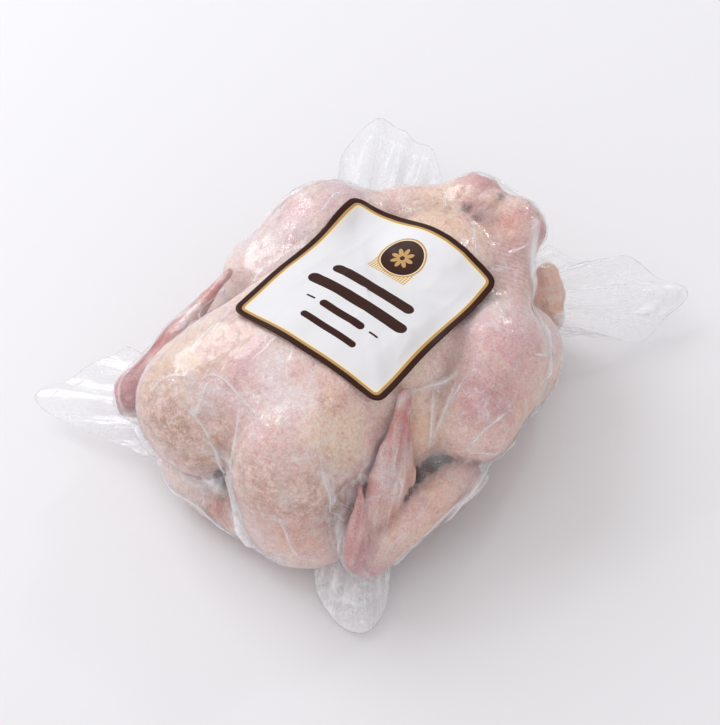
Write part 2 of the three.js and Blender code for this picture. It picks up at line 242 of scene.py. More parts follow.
RELIEF = [
    # the noise's cell and seed, its height, and how much higher it is on the bare knobs of the hocks
    (15, 1, 1.1, 0.0), (6.5, 2, 0.7, 2.6), (3.1, 3, 0.32, 1.0),
]
LOOSE_SKIN = {"cell": 9, "seed": 5, "height": 0.5}
KNOB_SPREAD = 350


def blend(a, b, width):
    """The lower of two fields, with the crease between them rounded: min(a, b) less a quarter of the width
    times the square of how close they are."""
    near = np.maximum(width - np.abs(a - b), 0) / width
    return np.minimum(a, b) - near * near * width / 4


def lobe(p, at, half, power, yaw=0.0):
    """A rounded block: |x/a|^n + |y/b|^n + |z/c|^n = 1 is its surface."""
    q = p - np.array(at, np.float32)
    c, s = math.cos(math.radians(yaw)), math.sin(math.radians(yaw))
    x, y, z = q[..., 0] * c + q[..., 1] * s, q[..., 1] * c - q[..., 0] * s, q[..., 2]
    total = np.abs(x / half[0]) ** power + np.abs(y / half[1]) ** power + np.abs(z / half[2]) ** power
    return np.sqrt((q * q).sum(-1)) * (1 - 1 / np.maximum(total ** (1 / power), 1e-3))


def limb(p, a, b, radius_a, radius_b, outward=None, flat=1.0):
    """A round limb from a to b: the distance to its axis less its radius there, which goes from one end's to
    the other's in an S. With an outward direction it is thinned that way to the share `flat`."""
    a, b = np.array(a, np.float32), np.array(b, np.float32)
    axis = b - a
    share = np.clip(((p - a) @ axis) / float(axis @ axis), 0, 1)
    q = p - (a + share[..., None] * axis)
    if outward is not None:
        side = np.array(outward, np.float32)
        side = side - axis * float(side @ axis) / float(axis @ axis)
        side /= np.linalg.norm(side)
        q = q + ((q @ side) * (1 / flat - 1))[..., None] * side
    return np.sqrt((q * q).sum(-1)) - (radius_a + (radius_b - radius_a) * share * share * (3 - 2 * share))


def chain(p, points, radii, width, outward=None, flat=1.0):
    """Round cones end to end through the points."""
    field = np.full(p.shape[:-1], 1e3, np.float32)
    for a, b, radius_a, radius_b in zip(points, points[1:], radii, radii[1:]):
        field = blend(field, limb(p, a, b, radius_a, radius_b, outward, flat), width)
    return field


def torso(p, drape):
    """Back and keel, the two halves of the breast, the neck skin, the belly and the vent, less the cleft
    where the neck was."""
    field = blend(lobe(p, **TRUNK), lobe(p, **KEEL), FLOW["keel"])
    for crop in CROPS:
        middle = (mid_x(BREAST["y"]) + crop["side"] * BREAST["apart"], BREAST["y"], BREAST["z"])
        half = (BREAST["half"][0] + (LEFT_FULLER if crop["side"] < 0 else 0), *BREAST["half"][1:])
        breast = lobe(p, middle, half, BREAST["power"], BIRD_YAW)
        crop_lobe = lobe(p, crop["at"], crop["half"], CROP_POWER, BIRD_YAW)
        field = blend(field, blend(breast, crop_lobe, FLOW["crop"]), crop["crease"] + drape / 2)
    for at, half, power, flow, draped in FLESH:
        field = blend(field, lobe(p, at, half, power), flow + draped * drape)
    return -blend(-field, lobe(p, **NECK_CLEFT), FLOW["cleft"])


def leg(p, hip, knee, calf, ankle, hock):
    """Thigh, drumstick and shank, with the bare knob of the hock joint."""
    thigh = limb(p, hip, knee, *THIGH_RADII)
    drumstick = chain(p, [knee, calf, ankle], DRUMSTICK_RADII, FLOW["drumstick"])
    drumstick = blend(drumstick, limb(p, ankle, hock, *SHANK_RADII), FLOW["shank"])
    drumstick = blend(drumstick, lobe(p, hock, **HOCK_KNOB), FLOW["hock"])
    return blend(thigh, drumstick, FLOW["thigh"])


def hand(p, joints):
    """The wing's outer part: a flat blade from the wrist to the tip, with a fold of skin behind it."""
    wrist, knuckle, tip, outward = (np.array(joints[k]) for k in ("wrist", "knuckle", "tip", "outward"))
    blade, fold = (
        chain(p, [wrist, knuckle + shift, tip], width=FLOW["hand"], outward=outward, **part)
        for shift, part in (((0, 0, 0), HAND), (HAND_FOLD_SHIFT, HAND_FOLD)))
    return blend(blade, fold, FLOW["fold"])


def thumb(p, joints):
    """The spike at the wing's wrist."""
    return limb(p, joints["thumb_root"], joints["thumb_tip"], outward=joints["outward"], **THUMB)


def forearm(p, joints):
    """Two bones side by side, which show as two ridges."""
    elbow, wrist = np.array(joints["elbow"]), np.array(joints["wrist"])
    upper, lower = (limb(p, elbow + shift, wrist + shift, *radii) for shift, *radii in BONES)
    return blend(upper, lower, FLOW["bones"])


def wing(p, joints, drape):
    """Upper arm, forearm, hand and thumb."""
    arm = limb(p, joints["shoulder"], joints["elbow"], *ARM_RADII)
    arm = blend(arm, forearm(p, joints), FLOW["arm"] + drape)
    return blend(arm, blend(hand(p, joints), thumb(p, joints), FLOW["fold"]), FLOW["wrist"] + drape)


def bird(p, drape=0.0):
    """The whole bird, with its creases bridged over the width `drape`."""
    field = torso(p, drape)
    for joints in LEGS:
        field = blend(field, leg(p, **joints), FLOW["leg"] + drape)
    for bone in TAIL:
        field = blend(field, limb(p, *bone), FLOW["tail"])
    for joints in WINGS:
        field = blend(field, wing(p, joints, drape), FLOW["wing"] + drape)
    return field


def cloud(p, cell, seed):
    """Smooth noise from 0 to 1: random values on a lattice of that cell, joined by smoothstep weights."""
    lattice = np.random.default_rng(seed).random((32, 32, 32), dtype=np.float32)
    base = np.floor(p / cell).astype(int)
    share = p / cell - base
    share = share * share * (3 - 2 * share)
    total = np.zeros(p.shape[:-1], np.float32)
    for corner in np.ndindex(2, 2, 2):
        i, j, k = np.moveaxis((base + corner) % 32, -1, 0)
        weight = np.where(corner, share, 1 - share).prod(-1)
        total += lattice[i, j, k] * weight
    return total


def ridges(p, cell, seed):
    """Noise that is 1 along thin crests and falls off to both sides of them."""
    return 1 - np.abs(2 * cloud(p, cell, seed) - 1)


def relief(p):
    """How far the skin stands proud of the smooth form: soft lumps, loose folds and coarse grain."""
    knobs = sum(
        np.exp(-((p - np.array(joints["hock"], np.float32)) ** 2).sum(-1) / KNOB_SPREAD) for joints in LEGS)
    proud = LOOSE_SKIN["height"] * ridges(p * (1, 0.6, 1), LOOSE_SKIN["cell"], LOOSE_SKIN["seed"]) ** 3
    for cell, seed, height, on_knobs in RELIEF:
        proud = proud + (height + on_knobs * knobs) * (cloud(p, cell, seed) - 0.5)
    return proud


def level_set(field, origin, step):
    """The surface where a field on a grid is 0: a point in each cell that it crosses, at the mean of where it
    crosses the cell's edges, and a quad round each grid edge that it crosses."""
    inside = field < 0
    corners = list(np.ndindex(2, 2, 2))
    shape = [n - 1 for n in field.shape]
    parts = [tuple(slice(c, c + n) for c, n in zip(corner, shape)) for corner in corners]
    count = sum(inside[part].astype(np.int8) for part in parts)
    crossed = (count > 0) & (count < 8)
    cells = np.argwhere(crossed)
    number = np.full(crossed.shape, -1)
    number[crossed] = np.arange(len(cells))
    values = [field[part][crossed] for part in parts]
    total, hits = np.zeros((len(cells), 3)), np.zeros(len(cells))
    for a, b in ((a, b) for a in range(8) for b in range(a + 1, 8)):
        way = np.subtract(corners[b], corners[a])
        if np.abs(way).sum() != 1:
            continue
        cut = (values[a] < 0) != (values[b] < 0)
        share = np.where(cut, values[a] / np.where(cut, values[a] - values[b], 1), 0)
        total += (np.array(corners[a]) + share[:, None] * way) * cut[:, None]
        hits += cut
    points = origin + step * (cells + total / hits[:, None])
    quads = []
    for axis in range(3):
        low = tuple(slice(0, -1) if i == axis else slice(1, -1) for i in range(3))
        high = tuple(slice(1, None) if i == axis else slice(1, -1) for i in range(3))
        start = np.argwhere(inside[low] != inside[high])
        outgoing = inside[low][tuple(start.T)]
        u, v = (axis + 1) % 3, (axis + 2) % 3
        ring = []
        for du, dv in ((0, 0), (1, 0), (1, 1), (0, 1)):
            cell = start.copy()
            cell[:, u] += du
            cell[:, v] += dv
            ring.append(number[tuple(cell.T)])
        quad = np.stack(ring, 1)
        quad[~outgoing] = quad[~outgoing][:, ::-1]
        quads.append(quad)
    return points, np.concatenate(quads)


def downhill(field, p, reach=0.4):
    """The field's unit gradient at each point, from the difference over `reach` along each axis."""
    slope = np.stack([field(p + step) - field(p - step) for step in np.eye(3) * reach], -1)
    return slope / np.maximum(np.linalg.norm(slope, axis=-1, keepdims=True), 1e-6)


def make_piece(name, points, faces, material, node, values):
    """A smooth mesh from points in millimetres, on the pack's one body, in place of a node of the frame. The
    values are numbers for each point, or one for all, that the material reads by name."""
    mesh = bpy.data.meshes.new(name)
    mesh.from_pydata((points / 1000).tolist(), [], list(faces))
    mesh.materials.append(material)
    mesh.shade_smooth()
    piece = bpy.data.objects.new(name, mesh)
    bpy.context.scene.collection.objects.link(piece)
    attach(piece, "root")
    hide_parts(node)
    for key, numbers in values.items():
        attribute = mesh.attributes.new(key, "FLOAT", "POINT")
        numbers = np.broadcast_to(np.asarray(numbers, np.float32), len(points))
        attribute.data.foreach_set("value", np.ascontiguousarray(numbers))
    return piece


def skin(p):
    """The bird's field with its relief, cut off just over the film that it rests on."""
    return np.maximum(bird(p) - relief(p), RESTING_GAP - p[..., 2])


SKIN_STEP = 1.35
SKIN_LOW = np.array([-104.0, -122.0, -3.0])
SKIN_HIGH = np.array([90.0, 112.0, 104.0])


def grid_points(low, high, step):
    """The points of a grid of that step, from the low corner to the high one."""
    axes = [np.arange(a, b + step, step, dtype=np.float32) for a, b in zip(low, high)]
    return np.stack(np.meshgrid(*axes, indexing="ij"), -1)


def smooth_step(low, high, x):
    """0 below `low`, 1 above `high`, with an S between them."""
    share = np.clip((x - low) / (high - low), 0, 1)
    return share * share * (3 - 2 * share)


def spots(p, places):
    """The strongest of several round soft spots, each given as its centre, radius and strength."""
    total = np.zeros(len(p))
    for centre, radius, strength in places:
        away = np.linalg.norm(p - np.array(centre), axis=-1) / radius
        total = np.maximum(total, strength * np.exp(-away * away))
    return total


SKIN_SPOTS = {
    # what lies on the skin in soft round spots: the centre, the radius and the strength of each
    "mauve": [
        ((-20, -77, 88), 16, 0.7), ((1, -78, 87), 18, 0.5), ((61, 19, 80), 26, 0.8), ((67, -7, 70), 18, 1.0),
        ((-49, 43, 88), 24, 0.7), ((-62, 30, 70), 26, 0.6), ((-77, -62, 60), 14, 0.7), ((-7, 89, 91), 7, 1.0),
        ((0, 75, 86), 6, 0.9), ((33, 86, 80), 6, 1.0), ((24, 86, 86), 5, 0.7), ((52, -50, 71), 13, 0.8),
        ((-76, -98, 49), 17, 0.9), ((35, -99, 50), 16, 0.5), ((63, -95, 34), 13, 1.0),
        ((64, -92, 24), 12, 0.8), ((66, -72, 40), 9, 0.4),
    ],
    "tan": [
        ((-29, -108, 69), 25, 1.0), ((-19, -107, 56), 20, 1.0), ((37, -100, 60), 24, 0.9),
        ((22, -106, 62), 22, 0.8), ((-49, -103, 60), 22, 0.7), ((67, -7, 70), 20, 0.45),
        ((25, -63, 90), 7, 0.9), ((-12, -107, 21), 16, 0.9), ((79, -38, 38), 30, 0.2),
        ((-12, -105, 25), 12, 1.0),
    ],
    "cream": [
        ((-50, -81, 85), 22, 1.0), ((38, -70, 80), 17, 1.0), ((47, -27, 66), 24, 1.0),
        ((-13, 57, 86), 24, 1.0), ((2, 57, 89), 14, 0.8), ((80, 25, 45), 24, 1.0), ((0, -30, 95), 40, 0.5),
        # the cream spot on the tail, at (43, 90, 30), is partly painted light: lighter to offset the
        # drumstick's shade
        ((5, 80, 88), 5, 1.0), ((43, 90, 30), 22, 0.8), ((48, -92, 55), 12, 0.5),
    ],
    "orange": [
        ((50, -36, 64), 7, 0.8), ((55, -41, 54), 6, 0.7), ((62, -52, 53), 7, 0.9), ((65, -70, 45), 8, 0.9),
        ((76, -48, 38), 17, 0.7), ((43, 90, 38), 22, 0.9), ((2, 57, 89), 9, 0.5), ((25, -63, 90), 7, 0.6),
        ((-19, -104, 62), 8, 0.6), ((36, -103, 40), 14, 0.6), ((20, 74, 85), 12, 0.4), ((5, 80, 88), 4, 0.9),
        ((79, -40, 36), 16, 0.5), ((80, 14, 46), 18, 0.6), ((51, -33, 62), 10, 0.5),
    ],
    # painted shade: dark patches in the gaps beside the wings' hands, between the hocks and in the neck's
    # cleft
    "dark": [
        ((64, -58, 44), 4, 0.7), ((64, -54, 46), 4, 0.8), ((59, -43, 40), 6, 1.0), ((61, -34, 39), 7, 1.0),
        ((65, -26, 42), 5, 0.9), ((70, -25, 47), 4, 0.5), ((-14, -96, 33), 8, 1.0), ((-9, -99, 38), 7, 1.0),
        ((7, 87, 87), 5, 0.62), ((-3, 73, 85), 6, 0.62), ((4, 72, 83), 5, 0.6), ((21, 84, 88), 4, 0.55),
        ((48, -82, 62), 4, 0.5),
    ],
    "raw": [
        ((-3, 88, 91), 9, 0.8), ((2, 74, 86), 6, 0.8), ((20, 79, 87), 10, 0.8), ((30, 72, 82), 9, 0.8),
        ((33, 85, 80), 6, 1.0), ((63, -95, 34), 13, 0.8), ((57, -88, 44), 8, 0.6), ((63, -95, 25), 8, 0.8),
        ((-9, -107, 22), 8, 1.0), ((-75, -98, 48), 12, 0.7), ((-79, -97, 50), 9, 0.8),
        ((71, -4, 70), 12, 0.6), ((52, -44, 70), 9, 0.5),
    ],
    "ice": [
        ((-8, -65, 92), 15, 1.0), ((-1, -85, 85), 12, 0.8), ((8, -71, 90), 15, 1.0), ((-38, -94, 81), 9, 0.8),
        ((-51, -104, 73), 11, 0.6), ((-28, -93, 82), 9, 0.7), ((28, -71, 88), 12, 0.7),
        ((40, 25, 82), 22, 0.6), ((-66, -2, 72), 18, 1.0), ((-50, -66, 87), 16, 0.6),
        ((-60, 45, 80), 28, 1.0), ((-48, 15, 90), 20, 0.9), ((-20, -107, 60), 7, 0.8),
        ((36, -100, 56), 10, 0.5), ((45, -15, 74), 12, 0.5), ((57, -62, 63), 11, 0.6),
    ],
    "nail": [
        ((44.4, -38, 82.2), 2, 1.0), ((44.5, -39.2, 80.4), 2.4, 1.0), ((-74, -29, 72), 3.0, 0.8),
    ],
}
# Where the painted shade in the creases is left off: two open places, and round the bare knobs of the hocks.
UNSHADED_SPOTS = [((50, -31, 64), 15, 0.7), ((-66, -10, 70), 22, 0.9)]
HOCKS_BARE = (22, 0.7)
RED_ENDS = {"tip": (20, 1.0), "thumb_tip": (11, 1.0), "wrist": (15, 0.7)}
RED_THUMB = 0.55
HAND_EDGE = {"hand": 3, "thumb": 2.5, "reach": 60}
STREAKS = {"cell": (16, 1.7, 9), "start": 100, "seed": 41, "height": 0.9}
SHANK_RINGS = {"past_ankle": 2, "radius": 20, "right": 1.0, "left": 0.3, "middle": 8}
# Painted shade in the creases: it grows with how far the skin lies under the form bridged over `bridged` mm.
CREASE_SHADE = {"bridged": 7.0, "shallow": 0.6, "deep": 3.5}


def build_skin():
    """The level set of the bird's field, with masks for its colours. A wing's hand and a thumb carry streaks
    along their bones: noise that is stretched along the axis from the wrist to the tip."""
    grid = grid_points(SKIN_LOW, SKIN_HIGH, SKIN_STEP)
    points, faces = level_set(skin(grid), SKIN_LOW, SKIN_STEP)
    points = points - downhill(skin, points) * skin(points)[:, None]
    red, blade, streak, hand_along, hand_across, rings, along_leg = np.zeros((7, len(points)))
    for joints in WINGS:
        wrist, tip, outward = (np.array(joints[k], float) for k in ("wrist", "tip", "outward"))
        axis = (tip - wrist) / np.linalg.norm(tip - wrist)
        along, across, out = ((points - wrist) @ way for way in (axis, np.cross(axis, outward), outward))
        lines = np.stack([along, across, out], -1) / STREAKS["cell"] + STREAKS["start"]
        on_thumb = 1 - smooth_step(0, HAND_EDGE["thumb"], thumb(points, joints))
        on_hand = np.maximum(1 - smooth_step(0, HAND_EDGE["hand"], hand(points, joints)), on_thumb)
        streak = np.where(on_hand > 0.01, cloud(lines, 1.0, STREAKS["seed"]), streak)
        near = np.abs(out) < HAND_EDGE["reach"]
        hand_along, hand_across = np.where(near, along, hand_along), np.where(near, across, hand_across)
        blade = np.maximum(blade, on_hand)
        ends = spots(points, [(joints[end], *size) for end, size in RED_ENDS.items()])
        red = np.maximum(red, on_hand * np.maximum(ends, RED_THUMB * on_thumb))
    points += downhill(bird, points) * (STREAKS["height"] * blade * (streak - 0.5))[:, None]
    for joints in LEGS:
        calf, ankle = np.array(joints["calf"], float), np.array(joints["ankle"], float)
        axis = (ankle - calf) / np.linalg.norm(ankle - calf)
        on_leg = spots(points, [(ankle + axis * SHANK_RINGS["past_ankle"], SHANK_RINGS["radius"], 1.0)])
        along_leg = np.where(on_leg > rings, (points - calf) @ axis, along_leg)
        rings = np.maximum(rings, on_leg)
    on_right = points[:, 0] > SHANK_RINGS["middle"]
    rings = rings * np.where(on_right, SHANK_RINGS["right"], SHANK_RINGS["left"])
    # Spots where the painted crease shade is left off: the bare knobs of the hocks and two open places.
    bare = spots(points, [*((joints["hock"], *HOCKS_BARE) for joints in LEGS), *UNSHADED_SPOTS])
    # Painted shade in the creases: how deep the skin lies under the form with its creases bridged.
    depth = bird(points) - bird(points, CREASE_SHADE["bridged"])
    crease_shade = smooth_step(CREASE_SHADE["shallow"], CREASE_SHADE["deep"], depth) * (1 - bare)
    make_piece("chicken", points, faces, chicken_skin(), "bagged_chicken", {
        **{name: spots(points, places) for name, places in SKIN_SPOTS.items()}, "red": red, "blade": blade,
        "streak": streak, "hand_along": hand_along, "hand_across": hand_across, "crease_shade": crease_shade,
        "rings": rings, "along_leg": along_leg})


def maths(tree, operation, *values, clamp=False):
    """One arithmetic node on two or three values."""
    node = add_node(tree, "ShaderNodeMath", dict(enumerate(values)), operation=operation, use_clamp=clamp)
    return node.outputs[0]


def fade(tree, value, low, high):
    """0 where the value is at `low` and 1 at `high`, with an S between them."""
    node = add_node(tree, "ShaderNodeMapRange", {0: value, 1: low, 2: high}, interpolation_type="SMOOTHSTEP")
    return node.outputs[0]


def noise(tree, place, scale, detail=3.0, roughness=0.55, kind="FBM"):
    """Noise on a place, with `scale` blotches to the metre."""
    inputs = {"Vector": place, "Scale": scale, "Detail": detail, "Roughness": roughness}
    return add_node(tree, "ShaderNodeTexNoise", inputs, noise_type=kind).outputs[0]


def patches(tree, place, scale, detail, roughness, start, full):
    """Soft patches: 0 where the noise on a place is at `start`, and 1 where it is at `full`."""
    return fade(tree, noise(tree, place, scale, detail, roughness), start, full)


def value_of(tree, name):
    """What a mesh stores under a name."""
    return add_node(tree, "ShaderNodeAttribute", attribute_name=name).outputs["Fac"]


def cover(tree, colour, over, *factors):
    """A colour covered by another to the product of the factors."""
    share = factors[0]
    for factor in factors[1:]:
        share = maths(tree, "MULTIPLY", share, factor)
    return mix_colour(tree, share, colour, over)


SKIN_PATCHES = {
    # blotches to the metre, octaves, roughness, the noise at which a patch starts, and at which it is full
    "broad": (45, 5, 0.6, 0.38, 0.62), "bruises": (37, 5, 0.6, 0.5, 0.64), "fatty": (61, 5, 0.6, 0.5, 0.66),
    "blotch": (130, 5, 0.65, 0.38, 0.6), "smears": (190, 5, 0.7, 0.42, 0.6),
    "veins": (215, 5, 0.7, 0.5, 0.66), "flecks": (330, 5, 0.7, 0.42, 0.62),
    "pits": (560, 4, 0.75, 0.5, 0.38), "painted_glints": (820, 2, 0.5, 0.62, 0.7),
    "grains": (900, 3, 0.7, 0.52, 0.66), "fine": (1150, 3, 0.75, 0.4, 0.6),
}
RING_WAVES = 2.6


def chicken_skin():
    """Cold pink skin with cream fat showing through in blotches and specks, bare mauve meat, tan dried crust,
    red wing tips and thumbs, and a broken coat of ice. Painted shade darkens its creases and gaps,
    and pale specks on the crust are painted glints."""
    cream, pink, rose = srgb(243, 224, 210), srgb(236, 198, 196), srgb(200, 127, 124)
    mauve, tan, crust = srgb(206, 146, 162), srgb(210, 174, 146), srgb(142, 102, 72)
    yellow, orange, red = srgb(240, 212, 172), srgb(233, 161, 114), srgb(200, 70, 66)
    pale, ice, crease_shade_colour, dark = srgb(247, 237, 231), srgb(248, 246, 249), srgb(116, 58, 56), srgb(78, 42, 42)
    material, tree = new_material("chicken_skin")
    place = add_node(tree, "ShaderNodeTexCoord").outputs["Object"]
    broad, bruises, fatty, blotch, smears, veins, flecks, pits, painted_glints, grains, fine = (
        patches(tree, place, *values) for values in SKIN_PATCHES.values())
    on = {name: value_of(tree, name) for name in (
        *SKIN_SPOTS, "red", "blade", "streak", "hand_along", "hand_across", "crease_shade", "rings", "along_leg")}
    streak = fade(tree, on["streak"], 0.35, 0.65)
    lengthwise = add_node(tree, "ShaderNodeCombineXYZ", {
        0: maths(tree, "MULTIPLY", on["hand_along"], 0.07),
        1: maths(tree, "MULTIPLY", on["hand_across"], 0.8)}).outputs[0]
    fibres = patches(tree, lengthwise, 1.0, 4, 0.7, 0.42, 0.62)
    spread = maths(tree, "MULTIPLY_ADD", blotch, 0.5, 0.4)
    crinkles = noise(tree, place, 310, 4, 0.55, "RIDGED_MULTIFRACTAL")
    # Painted shade in the gaps, broken up by noise.
    gap_shade = maths(tree, "MULTIPLY_ADD", noise(tree, place, 420, 4, 0.7), 0.5, on["dark"])
    wander = maths(tree, "MULTIPLY", noise(tree, place, 110, 3, 0.6), 9.0)
    ripple = maths(tree, "SINE", maths(tree, "MULTIPLY_ADD", on["along_leg"], RING_WAVES, wander))
    ripple = maths(tree, "MULTIPLY", ripple, on["rings"])
    frosted = maths(tree, "MULTIPLY_ADD", on["ice"], 0.2, noise(tree, place, 75, 5, 0.65))
    colour = mix_colour(tree, broad, cream, pink)
    for over, *shares in (
            (mauve, bruises, 0.4),
            (yellow, fatty, 0.4),
            (yellow, on["cream"], 0.8),
            (tan, on["tan"], spread),
            (rose, veins, 0.55),
            (pale, flecks, 0.35),
            (rose, on["raw"], maths(tree, "MULTIPLY_ADD", flecks, -0.5, 0.95)),
            (mauve, on["mauve"], spread),
            (crust, on["tan"], smears, 0.62),
            (crust, on["tan"], pits, 0.5),
            (rose, pits, 0.2),
            (pale, on["tan"], fade(tree, crinkles, 0.5, 1.0), 0.4),
            # painted glints: pale specks on the crust stand in for highlights
            (pale, on["tan"], painted_glints, 0.85),
            (mauve, on["blade"], 0.25),
            (rose, on["blade"], veins, 0.3),
            (pale, on["blade"], streak, 0.7),
            (rose, on["blade"], fibres, 0.4),
            (orange, on["orange"], spread, 0.75),
            (red, on["red"], maths(tree, "MULTIPLY_ADD", fibres, -0.4, 1.0), 0.95),
            (rose, maths(tree, "MULTIPLY_ADD", fine, -0.22, 0.22)),
            (pale, fine, 0.2),
            # painted shade in the creases
            (crease_shade_colour, on["crease_shade"], 0.85),
            (pale, on["nail"], 0.9),
            # painted shade in the gaps, broken into grains
            (dark, fade(tree, gap_shade, 0.62, 0.95), maths(tree, "MULTIPLY_ADD", grains, -0.55, 1.0)),
            (pale, fade(tree, ripple, 0.1, 0.9), 0.4),
            (ice, fade(tree, frosted, 0.52, 0.72), maths(tree, "MULTIPLY_ADD", grains, 0.6, 0.2))):
        colour = cover(tree, colour, over, *shares)

    follicles = add_node(tree, "ShaderNodeTexVoronoi", {"Vector": place, "Scale": 420.0}, feature="SMOOTH_F1")
    domes = fade(tree, follicles.outputs["Distance"], 0.5, 0.1)
    lumps = maths(tree, "MULTIPLY", noise(tree, place, 230, 3, 0.5, "RIDGED_MULTIFRACTAL"), on["raw"])
    wrinkles = noise(tree, place, 150, 3, 0.5, "RIDGED_MULTIFRACTAL")
    wrinkles = maths(tree, "MULTIPLY_ADD", wrinkles, 0.7, crinkles)
    height = noise(tree, place, 480, 5, 0.7)
    for feature, proud in ((domes, 0.22), (ripple, 0.25), (lumps, 1.3),
                           (wrinkles, maths(tree, "MULTIPLY_ADD", on["tan"], 0.75, 0.2)),
                           (maths(tree, "MULTIPLY", fibres, on["blade"]), 0.35)):
        height = maths(tree, "MULTIPLY_ADD", feature, proud, height)
    bump = add_node(tree, "ShaderNodeBump", {"Height": height, "Strength": 0.9, "Distance": 0.0012})
    rough = maths(tree, "MULTIPLY_ADD", blotch, 0.2, 0.38)
    body = add_node(tree, "ShaderNodeBsdfPrincipled", {
        "Base Color": colour, "Roughness": rough, "Normal": bump.outputs[0], "Subsurface Weight": 0.12,
        "Subsurface Radius": (0.9, 0.45, 0.3), "Subsurface Scale": 0.003, "IOR": 1.4})
    set_surface(tree, body.outputs[0])
    return material


build_skin()

# ---------------------------------------------------------------- the pouch over the bird
# Clear multi-layer film, sucked down onto the bird until it touches nearly everywhere. It bridges the
# creases, stands up in thin folds where it had too much width, and carries a little frost.
FILM_DRAPE = 5.0
FILM_STANDOFF = 0.6
FILM_LEAST_GAP = 0.3
WRAP_CENTRE = np.array([-2.0, -6.0, 44.0])
WRAP_OUTER = np.array([112.0, 132.0, 74.0])
WRAP_INNER = np.array([34.0, 72.0, 8.0])
WRAP_MARGIN = 4
WRAP_STEP = 1.8
SLIDES = 110
SLACK_GAP = (1.0, 5.0)
CRUMPLES = {"cell": 7, "seed": 11, "height": 0.4}
FILM_GRID_STEP = 2.0
PULLS = 30
FOLDS = [
    # points that the crest runs through, its height and its half width
    ([(-69, -104, 42), (-57, -105, 24), (-46, -103, 19), (-34, -104, 24), (-24, -104, 27)], 3.0, 4.5),
    ([(-1, -105, 54), (4, -108, 44), (7, -110, 23), (14, -111, 20)], 2.6, 4.5),
    ([(39, -87, 73), (44, -86, 58), (52, -91, 47), (60, -96, 36)], 2.2, 3.5),
    ([(45, -36, 84), (45, -20, 74), (49, -11, 72), (51, -4, 73)], 1.6, 3.0),
    ([(29, 85, 86), (35, 76, 79), (42, 66, 74), (58, 58, 60), (72, 38, 62), (77, 33, 58)], 3.0, 4.5),
    ([(74, -79, 25), (79, -58, 28), (82, -31, 34), (84, 0, 36), (80, 30, 34)], 2.2, 3.4),
]
